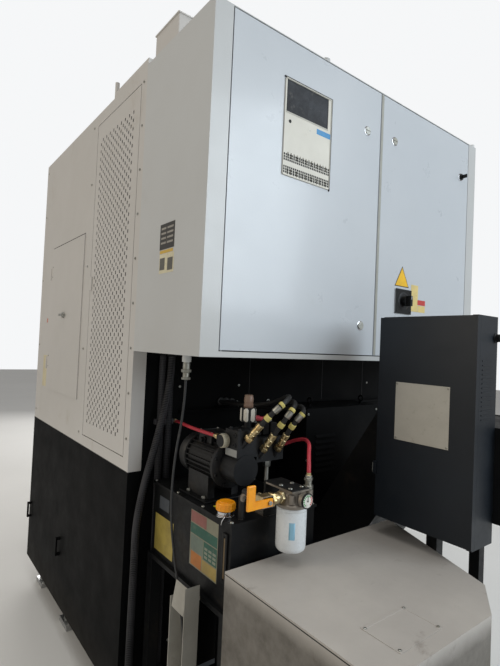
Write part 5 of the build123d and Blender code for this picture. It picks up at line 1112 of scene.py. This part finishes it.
class LATHE_OT_conduits(LathePiece, bpy.types.Operator):
    """Ribbed conduits on the rear wall, with their end glands and the channel's flap."""

    bl_idname = "lathe.conduits"
    bl_label = "Ribbed conduits"

    def build(self):
        pitch = sizes().rib
        runs = [
            [(0.655, 0.838, 1.460), (0.655, 0.838, 1.15), (0.655, 0.838, 0.80), (0.655, 0.838, 0.45),
             (0.655, 0.838, 0.230)],
            [(0.690, 0.838, 1.460), (0.690, 0.838, 1.15), (0.690, 0.838, 0.80), (0.690, 0.838, 0.45),
             (0.690, 0.838, 0.230)],
            [(0.668, 0.868, 1.460), (0.668, 0.868, 1.375), (0.680, 0.868, 1.285), (0.716, 0.868, 1.120),
             (0.762, 0.867, 0.950),
             (0.784, 0.865, 0.810), (0.782, 0.862, 0.660), (0.785, 0.865, 0.500), (0.784, 0.863, 0.340),
             (0.784, 0.863, 0.230)],
        ]
        ribs = []
        for points in runs:
            guide = hose("guide", points, 0)
            mesh = bpy.data.meshes.new_from_object(guide)
            spots = [vertex.co for vertex in mesh.vertices]
            length = sum((b - a).length for a, b in zip(spots, spots[1:]))
            rib = turned(0.0122, [(pitch * 0.25, 0.0122), (pitch * 0.15, 0.0142), (pitch * 0.45, 0.0142),
                                  (pitch * 0.15, 0.0122)], 16)
            choose_faces(rib, lambda at, normal: abs(normal.z) > 0.99)
            bpy.ops.mesh.delete(type="FACE")
            bpy.ops.object.mode_set(mode="OBJECT")
            place(rib, (0, 0, 0), RIGHT)
            row(rib, int(length / pitch), (pitch, 0, 0))
            pick([rib])
            bend = rib.modifiers.new("Bend", "CURVE")
            bend.object = guide
            bend.deform_axis = "POS_X"
            bpy.ops.object.modifier_apply(modifier=bend.name)
            edit_all()
            bpy.ops.mesh.remove_doubles(threshold=0.00002)
            bpy.ops.object.mode_set(mode="OBJECT")
            bpy.data.objects.remove(guide)
            ribs.append(rib)
        ribbed = finish("conduit plastic", paint_rgb(9, 10, 11), paint_rgb(14, 14, 15), 14.0, (0.55, 0.7),
                        700.0, 0.00012,
                        dirt=paint_rgb(34, 32, 29), dirt_scale=30.0, dirt_reach=(0.6, 0.85), specular=0.1)
        assemble("conduit_ribs", paint(ribs, ribbed))
        glands = []
        for x, y in ((0.655, 0.838), (0.690, 0.838), (0.668, 0.868)):
            glands.append(place(hexagon(0.034, 0.016), (x, y, 1.4435)))
        flap = plate((-0.001, 1.192, -0.040), (0.001, 1.264, 0.040), 0.0006)
        flap.matrix_world = Matrix.Translation((0.7935, 0, 0.708)) @ Matrix.Rotation(math.radians(-10), 4,
                "Y")
        assemble("channel_flap", paint([settle(flap)], channel_paint()))
        for x, y in ((0.655, 0.838), (0.690, 0.838), (0.784, 0.863)):
            glands.append(place(turned(0.0165, [(0.012, 0.0165), (0.002, 0.0145)], 20), (x, y, 0.2295)))
        assemble("conduit_glands", paint(glands, black_plastic()))


class LATHE_OT_conveyor(LathePiece, bpy.types.Operator):
    """Blank plate, latch plate, button, ribs, bolts, covers and bearing of the chip conveyor."""

    bl_idname = "lathe.conveyor"
    bl_label = "Chip conveyor"

    def build(self):
        sheet = plate((0.1348, 1.524, 1.197), (0.1360, 1.723, 1.396), 0.0004, (RIGHT, 0.004, 0.0002))
        rivets = heads_at([(0.1358, y, z) for z in (1.203, 1.390) for y in (1.530, 1.717)], RIGHT, 0.0035,
                          0.0015)
        assemble("blank_plate", paint([sheet], label("blank plate", paint_rgb(176, 172, 162), 0.93))
                 + paint(rivets, zinc()), "conveyor_box_door")
        catch = plate((0.120, 1.4395, 1.064), (0.1405, 1.4412, 1.098), 0.0006, (FRONT, 0.003, 0.0004))
        assemble("box_latch_plate", paint([catch], zinc()), "conveyor_box_door")
        bezel = place(turned(0.0155, [(0.003, 0.0155), (0.001, 0.0125), (0.013, 0.0122), (0.002, 0.010)], 28),
                      (0.018, 1.8048, 1.558), REAR)
        assemble("box_button", paint([bezel], black_plastic()))
        vents = row(plate((0.030, 1.8045, 1.30), (0.100, 1.8068, 1.304), 0.0006), 14, (0, 0, 0.014))
        assemble("box_vent_ribs", paint([vents], box_paint()))
        sides = [(-0.3448, y, z) for z in (0.99, 1.25) for y in (1.50, 1.62, 1.74)]
        screws("head_bolts_left", sides, LEFT, 0.008, 0.006, zinc())
        rim = [(x, 1.8502, z) for x in (-0.33, -0.25, -0.17, -0.09, -0.01) for z in (0.985, 1.255)]
        screws("head_bolts_rear", rim, REAR, 0.007, 0.005, zinc())
        cover = plate((-0.325, 1.849, 1.01), (-0.015, 1.8525, 1.235), 0.0015, (REAR, 0.012, 0.0015))
        assemble("head_inspection_cover", paint([cover], stand_paint()))
        strips = [plate((x, 1.36, 1.2695), (x + 0.012, 1.845, 1.2725), 0.0008) for x in (-0.345, -0.007)]
        top = heads_at([(x, y, 1.2722) for x in (-0.339, -0.001) for y in (1.40, 1.52, 1.64, 1.76)], UP,
                       0.006, 0.004)
        assemble("head_top_flanges", paint(strips, stand_paint()) + paint(top, zinc()))
        bearing = place(turned(0.046, [(0.004, 0.048), (0.012, 0.048), (0.003, 0.040), (0.0, 0.028),
                                       (-0.006, 0.027)], 36), (-0.3448, 1.702, 1.120), LEFT)
        assemble("shaft_bearing", paint([bearing], casting_paint()))


class LATHE_OT_coolant_tank(LathePiece, bpy.types.Operator):
    """Lid seam, hatch and drain plug of the coolant tank."""

    bl_idname = "lathe.coolant_tank"
    bl_label = "Coolant tank"

    def build(self):
        strip = plate((0.7528, 1.409, 0.842), (0.7538, 1.947, 0.8445), 0.0003)
        assemble("tank_lid_seam", paint([strip], rubber()))
        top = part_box("tank_lid")[1][2]
        mesh = plate((0.470, 1.800, top - 0.0002), (0.640, 1.910, top + 0.0012), 0.0005, (UP, 0.008, 0.0006))
        assemble("tank_hatch", paint([mesh], tank_paint_and_shade()))
        screws("tank_hatch_screws", [(x, y, top + 0.0010) for x in (0.478, 0.632) for y in (1.808, 1.902)],
               UP, 0.004, 0.002, zinc())
        nut = place(hexagon(0.036, 0.010), (0.600, 1.9505, 0.060), REAR)
        assemble("tank_drain_plug", paint([nut], brass()))


class LATHE_OT_motor_cover(LathePiece, bpy.types.Operator):
    """Joint strips, screws, rim and hooks on the black rear wall and motor cover."""

    bl_idname = "lathe.motor_cover"
    bl_label = "Rear wall and motor cover"

    def build(self):
        seams = [plate((x - 0.0012, 0.8192, 0.16), (x + 0.0012, 0.8206, 1.20), 0.0003)
                 for x in (0.241, -0.235, -0.558)]
        upper = [plate((x - 0.0012, 0.8192, 1.24), (x + 0.0012, 0.8206, 1.455), 0.0003)
                 for x in (0.241, -0.235, -0.558)]
        assemble("rear_wall_joints", paint(seams + upper, rubber()))
        spots = [(x, 0.8198, z) for x in (0.30, 0.60, -0.60, -0.72) for z in (0.30, 0.62, 0.94, 1.32)]
        screws("rear_wall_screws", spots, REAR, sizes().screw, 0.003, zinc())
        spots = [(x, 1.0198, z) for x in (-0.428, 0.055) for z in (0.80, 1.0, 1.205)]
        screws("motor_cover_screws", spots, REAR, sizes().screw, 0.003, zinc())
        rim = plate((-0.4378, 1.0190, 1.2255), (0.0648, 1.0212, 1.2300), 0.0006)
        assemble("motor_cover_rim", paint([rim], dark_paint()))
        hooks = []
        for x in (0.30, 0.12):
            hooks.append(as_mesh(hose("hook", [(x, 0.826, 1.225), (x, 0.826, 1.243),
                                               (x + 0.010, 0.826, 1.254), (x + 0.018, 0.826, 1.246)], 0.002)))
        assemble("ledge_hooks", paint(hooks, zinc()))


class LATHE_OT_pendant(LathePiece, bpy.types.Operator):
    """Screen, keys, buttons and sockets of the operator's pendant."""

    bl_idname = "lathe.pendant"
    bl_label = "Operator pendant"

    def build(self):
        y = -1.010
        frame_piece = plate((0.345, y - 0.006, 1.520), (0.695, y + 0.001, 1.775), 0.003,
                            (FRONT, 0.020, 0.004))
        screen = plate((0.368, y - 0.0032, 1.543), (0.672, y - 0.001, 1.752), 0.0006)
        fields = []
        for number in range(4):
            z = 1.722 - 0.050 * number
            fields.append(plate((0.380, y - 0.0037, z - 0.020),
                                (0.520 - 0.02 * (number % 2), y - 0.0030, z + 0.012), 0.0002))
        bright = plate((0.540, y - 0.0037, 1.570), (0.660, y - 0.0030, 1.730), 0.0002)
        assemble("pendant_screen", paint([frame_piece], black_plastic())
                 + paint([screen], finish("dark screen glass", paint_rgb(16, 20, 26), paint_rgb(20, 26, 34),
                                          8.0, (0.08, 0.16), 200.0, 0.00002))
                 + paint(fields, lit("screen field", paint_rgb(64, 110, 150), 0.4))
                 + paint([bright], lit("screen graph", paint_rgb(110, 150, 160), 0.3)), "pendant")
        pieces = []
        rows = sizes().keys
        key = plate((0.560, y - 0.004, 1.488), (0.578, y, 1.502), 0.0012, (FRONT, 0.002, 0.0006))
        pieces += paint([row(row(key, 6, (0.0225, 0, 0)), rows, (0, 0, -0.0185))],
                        label("pale key", paint_rgb(206, 208, 206)))
        soft = plate((0.372, y - 0.0035, 1.5035), (0.396, y, 1.5125), 0.001)
        pieces += paint([row(soft, 8, (0.0385, 0, 0))], label("soft key", paint_rgb(120, 128, 134)))
        wide = plate((0.350, y - 0.0035, 1.470), (0.372, y, 1.486), 0.001)
        pieces += paint([row(row(wide, 6, (0.030, 0, 0)), 2, (0, 0, -0.024))],
                        label("mode key", paint_rgb(84, 96, 108)))
        assemble("pendant_keys", pieces, "pendant")
        buttons = []
        for x, material in ((0.455, green_plastic()), (0.500, red_plastic()),
                            (0.545, lit("amber lamp", paint_rgb(236, 168, 40), 0.4))):
            bezel = place(turned(0.0155, [(0.003, 0.0155), (0.001, 0.0128), (-0.001, 0.0122)], 28),
                          (x, y, 1.360), FRONT)
            dome = place(turned(0.0118, [(0.006, 0.0118), (0.002, 0.0095)], 28), (x, y - 0.001, 1.360), FRONT)
            buttons += paint([bezel], chrome()) + paint([dome], material)
        assemble("pendant_buttons", buttons, "pendant")
        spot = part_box("emergency_stop")
        middle = [(a + b) / 2 for a, b in zip(spot[0], spot[1])]
        ring = place(turned(0.034, [(0.002, 0.034), (0.001, 0.032), (0.0, 0.0225), (-0.001, 0.0222)], 40),
                     (middle[0], y, middle[2]), FRONT)
        assemble("stop_ring", paint([ring], label("signal yellow ring", tuple(colours().warning))), "pendant")
        scale = place(turned(0.036, [(0.0015, 0.036), (0.0005, 0.0345), (0.0, 0.026), (-0.0005, 0.0255)], 48),
                      (0.390, y, 1.360), FRONT)
        ticks = [place(turned(0.0011, [(0.0022, 0.0011)], 8),
                       (0.390 + 0.031 * math.sin(math.radians(a)), y, 1.360
                        + 0.031 * math.cos(math.radians(a))), FRONT) for a in range(-150, 151, 30)]
        assemble("feed_dial_ring", paint([scale], black_plastic()) + paint(ticks, enamel()), "pendant")
        port = plate((0.640, y - 0.004, 1.300), (0.690, y, 1.325), 0.002, (FRONT, 0.004, 0.001))
        assemble("pendant_port", paint([port], black_plastic()), "pendant")
        corners = [(x, y, z) for x in (0.330, 0.710) for z in (1.290, 1.790)]
        screws("pendant_screws", corners, FRONT, 0.0045, 0.0025, zinc(), "pendant")


class LATHE_OT_front(LathePiece, bpy.types.Operator):
    """Window seal, door trim, screws and vents on the operator's side."""

    bl_idname = "lathe.front"
    bl_label = "Front panel trim"

    def build(self):
        low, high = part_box("door_window")
        face = -0.690
        seal = [
            plate((low[0] - 0.004, face - 0.003, low[2] - 0.004),
                  (low[0] + 0.014, face + 0.002, high[2] + 0.004), 0.0012),
            plate((high[0] - 0.014, face - 0.003, low[2] - 0.004),
                  (high[0] + 0.004, face + 0.002, high[2] + 0.004), 0.0012),
            plate((low[0] + 0.014, face - 0.003, low[2] - 0.004),
                  (high[0] - 0.014, face + 0.002, low[2] + 0.014), 0.0012),
            plate((low[0] + 0.014, face - 0.003, high[2] - 0.014),
                  (high[0] - 0.014, face + 0.002, high[2] + 0.004), 0.0012),
        ]
        assemble("window_seal", paint(seal, rubber()), "front_door")
        spots = [(x, face, z) for x in (-0.292, 0.292) for z in (1.07, 1.32, 1.57, 1.82, 2.07)]
        screws("front_door_screws", spots, FRONT, sizes().screw, 0.003, zinc(), "front_door")
        spots = [(x, -0.6398, z) for x in (-0.775, -0.45, 0.45, 0.775)
                 for z in (1.03, 1.45, 1.87, 2.29, 2.54)]
        screws("front_panel_screws", spots, FRONT, sizes().screw, 0.003, zinc())
        ribs = row(plate((-0.70, -0.642, 0.30), (-0.42, -0.6392, 0.307), 0.0008), 18, (0, 0, 0.022))
        twin = copy_of(ribs, (1.12, 0, 0))
        assemble("front_vent_ribs", paint([ribs, twin], dark_paint()))
        kick = plate((-0.80, -0.6418, 0.145), (0.80, -0.6392, 0.215), 0.0008, (FRONT, 0.006, 0.0006))
        assemble("kick_plate", paint([kick], dark_steel()))
        joint = plate((-0.8075, -0.6412, 0.9945), (0.8075, -0.6396, 0.9975), 0.0005)
        assemble("front_joint_strip", paint([joint], rubber()))
        lamps = []
        for number, material in enumerate((lit("green lens", paint_rgb(40, 190, 90), 0.3),
                                           lit("amber lens", paint_rgb(240, 170, 40), 0.3),
                                           lit("red lens", paint_rgb(210, 40, 34), 0.3))):
            lamps += paint([place(turned(0.014, [(0.004, 0.014), (0.003, 0.011)], 28),
                                  (-0.44 + 0.05 * number, -0.6396, 2.30), FRONT)], material)
        assemble("front_lamps", lamps)


class LATHE_OT_chamber(LathePiece, bpy.types.Operator):
    """Rings and screws of the chuck, jaw screws, turret clamps and hub."""

    bl_idname = "lathe.chamber"
    bl_label = "Chuck and turret"

    def build(self):
        spots = [(0.225 * math.cos(math.radians(a)), 0.225 * math.sin(math.radians(a)), 1.0499)
                 for a in range(0, 360, 60)]
        screws("chuck_screws", spots, UP, 0.009, 0.002, dark_steel(), "table")
        ring = turned(0.078, [(0.0012, 0.078), (0.0, 0.073), (-0.0012, 0.0725)], 48)
        place(ring, (0, 0, 1.0499))
        outer = place(turned(0.2492, [(0.0, 0.2506), (0.006, 0.2506), (0.0, 0.2496)], 96), (0, 0, 1.020))
        assemble("chuck_rings", paint([ring, outer], machined_steel()), "table")
        for number in range(3):
            turn = math.radians(90 + 120 * number)
            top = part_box("chuck_jaw_%d" % (number + 1))[1][2]
            spot = (0.190 * math.cos(turn), 0.190 * math.sin(turn), top - 0.0002)
            screws("jaw_screws_%d" % (number + 1), [spot], UP, 0.009, 0.004, dark_steel(),
                   "jaw_%d" % (number + 1))
        caps = [(0.098 * math.sin(math.radians(a)), -0.0452, 1.6 + 0.098 * math.cos(math.radians(a)))
                for a in range(0, 360, 45)]
        screws("turret_clamps", caps, FRONT, 0.009, 0.004, dark_steel(), "turret")
        hub = place(turned(0.052, [(0.004, 0.052), (0.002, 0.048), (0.0, 0.020), (0.006, 0.018)], 48),
                    (0, -0.0449, 1.6), FRONT)
        assemble("turret_hub", paint([hub], machined_steel()), "turret")


class LATHE_OT_electrics(LathePiece, bpy.types.Operator):
    """Terminals, fans and duct lids on the modules inside the cabinet."""

    bl_idname = "lathe.electrics"
    bl_label = "Cabinet modules"

    def build(self):
        face = 1.058
        grey = []
        fans = []
        for number in range(5):
            x = -0.640 + 0.150 * number
            grey.append(plate((x + 0.008, face - 0.001, 2.120), (x + 0.112, face + 0.0015, 2.400), 0.0015,
                              (REAR, 0.006, 0.0006)))
            fans.append(row(plate((x + 0.014, face, 2.030), (x + 0.106, face + 0.0018, 2.034), 0.0005), 4,
                            (0, 0, 0.007)))
        assemble("module_fronts", paint(grey, label("module grey", paint_rgb(196, 198, 196), 0.95))
                 + paint(fans, black_plastic()))
        taps = row(plate((-0.616, 0.9225, 1.805), (-0.604, 0.9265, 1.820), 0.0008), 12, (0.062, 0, 0))
        second = copy_of(taps, (0.016, 0, 0))
        third = copy_of(taps, (0.032, 0, 0))
        assemble("terminal_blocks", paint([taps, second], label("terminal green", paint_rgb(60, 140, 90)))
                 + paint([third], label("terminal orange", paint_rgb(226, 140, 50))))
        lid = row(plate((-0.676, 0.8975, 1.934), (-0.662, 0.9000, 1.981), 0.0005), 68, (0.020, 0, 0))
        assemble("duct_fingers", paint([lid], label("duct grey", paint_rgb(150, 152, 150))))


class LATHE_OT_roof(LathePiece, bpy.types.Operator):
    """Lids, screws and lifting points on the roof."""

    bl_idname = "lathe.roof"
    bl_label = "Roof trim"

    def build(self):
        lid = plate((0.354, 0.659, 2.8085), (0.712, 0.869, 2.8158), 0.0025, (UP, 0.02, 0.001))
        assemble("roof_box_lid", paint([lid], body_paint()))
        spots = [(x, y, 2.5798) for x in (-0.76, -0.25, 0.25) for y in (-0.60, -0.15, 0.30, 0.78)]
        screws("roof_screws", spots, UP, sizes().screw, 0.003, zinc())
        grille = row(plate((0.395, 0.8645, 2.640), (0.670, 0.8675, 2.645), 0.0008), 9, (0, 0, 0.016))
        assemble("roof_box_ribs", paint([grille], body_paint()))
        rings = [place(turned(0.020, [(0.006, 0.020), (0.001, 0.016), (0.010, 0.016), (0.002, 0.013)], 28),
                       (x, y, 2.5797)) for x in (-0.62, 0.62) for y in (-0.50, 0.30)]
        assemble("lifting_plugs", paint(rings, zinc()))


class LATHE_OT_feet(LathePiece, bpy.types.Operator):
    """Lock nuts on the levelling pads."""

    bl_idname = "lathe.feet"
    bl_label = "Levelling nuts"

    def build(self):
        nuts = [place(hexagon(0.055, 0.014), (side * 0.727, y, 0.026)) for side in (-1, 1)
                for y in (-0.50, 0.0, 0.50)]
        assemble("levelling_nuts", paint(nuts, zinc()))


class LATHE_OT_stage(LathePiece, bpy.types.Operator):
    """Pale floor, plain surroundings and soft studio lamps."""

    bl_idname = "lathe.stage"
    bl_label = "Stage"

    def build(self):
        clear_selection()
        bpy.ops.mesh.primitive_plane_add(size=40, location=(0, 0, 0))
        floor = bpy.context.object
        floor.name = "floor"
        bpy.ops.object.transform_apply(location=True, rotation=True, scale=True)
        floor.data.materials.append(finish("studio floor", paint_rgb(226, 226, 224), paint_rgb(222, 222, 220),
                                           0.6, (0.6, 0.75), 40.0, 0.0002))
        world = bpy.context.scene.world or bpy.data.worlds.new("studio")
        bpy.context.scene.world = world
        world.use_nodes = True
        tree = world.node_tree
        tree.nodes.clear()
        out = tree.nodes.new("ShaderNodeOutputWorld")
        seen = tree.nodes.new("ShaderNodeBackground")
        seen.inputs["Color"].default_value = (0.92, 0.93, 0.94, 1)
        seen.inputs["Strength"].default_value = 1.0
        soft = tree.nodes.new("ShaderNodeBackground")
        soft.inputs["Color"].default_value = (1.0, 0.985, 0.965, 1)
        soft.inputs["Strength"].default_value = 0.36
        rays = tree.nodes.new("ShaderNodeLightPath")
        either = tree.nodes.new("ShaderNodeMath")
        either.operation = "MAXIMUM"
        tree.links.new(rays.outputs["Is Camera Ray"], either.inputs[0])
        tree.links.new(rays.outputs["Is Transmission Ray"], either.inputs[1])
        blend = tree.nodes.new("ShaderNodeMixShader")
        tree.links.new(either.outputs[0], blend.inputs[0])
        tree.links.new(soft.outputs[0], blend.inputs[1])
        tree.links.new(seen.outputs[0], blend.inputs[2])
        tree.links.new(blend.outputs[0], out.inputs[0])
        lamps = (
            ("rear key", (-2.2, 6.2, 3.6), (0.1, 1.3, 1.7), 3.2, 205, (0.84, 0.93, 1.0)),
            ("top fill", (0.6, 1.2, 6.0), (0.2, 0.9, 1.5), 4.0, 110, (1.0, 0.99, 0.97)),
            ("side fill", (6.0, -0.6, 3.4), (0.6, 0.6, 1.9), 3.0, 80, (1.0, 0.88, 0.70)),
            ("front fill", (-1.8, -6.0, 3.4), (0.0, -0.6, 1.4), 3.6, 130, (1.0, 0.98, 0.95)),
        )
        for name, spot, target, wide, power, tint in lamps:
            lamp = bpy.data.lights.new(name, "AREA")
            lamp.size = wide
            lamp.energy = power
            lamp.color = tint
            stand = bpy.data.objects.new(name, lamp)
            bpy.context.collection.objects.link(stand)
            stand.location = spot
            stand.rotation_euler = (Vector(target) - Vector(spot)).to_track_quat("-Z", "Y").to_euler()


PIECES = (
    LATHE_OT_camera, LATHE_OT_power_cable, LATHE_OT_finishes, LATHE_OT_cabinet, LATHE_OT_cooler,
          LATHE_OT_switch,
    LATHE_OT_side_panels, LATHE_OT_hoses, LATHE_OT_hydraulic_unit, LATHE_OT_filter, LATHE_OT_conduits,
    LATHE_OT_conveyor, LATHE_OT_coolant_tank, LATHE_OT_motor_cover, LATHE_OT_pendant, LATHE_OT_front,
    LATHE_OT_chamber, LATHE_OT_electrics, LATHE_OT_roof, LATHE_OT_feet, LATHE_OT_stage,
)


class LATHE_PT_sidebar(bpy.types.Panel):
    """Lists the lathe's pieces and its main sizes and colours."""

    bl_idname = "LATHE_PT_sidebar"
    bl_label = "Vertical lathe"
    bl_space_type = "VIEW_3D"
    bl_region_type = "UI"
    bl_category = "Lathe"

    def draw(self, context):
        for group in (context.scene.lathe_colours, context.scene.lathe_sizes):
            for name in group.__annotations__:
                self.layout.prop(group, name)
        for piece in PIECES:
            self.layout.operator(piece.bl_idname)


CLASSES = (LatheColours, LatheSizes, *PIECES, LATHE_PT_sidebar)


def register():
    for group in CLASSES:
        bpy.utils.register_class(group)
    bpy.types.Scene.lathe_colours = PointerProperty(type=LatheColours)
    bpy.types.Scene.lathe_sizes = PointerProperty(type=LatheSizes)


def unregister():
    del bpy.types.Scene.lathe_sizes
    del bpy.types.Scene.lathe_colours
    for group in reversed(CLASSES):
        bpy.utils.unregister_class(group)


def main():
    register()
    bpy.context.scene.view_settings.view_transform = "Standard"
    for piece in PIECES:
        group, name = piece.bl_idname.split(".")
        getattr(getattr(bpy.ops, group), name)()


if __name__ == "__main__":
    main()
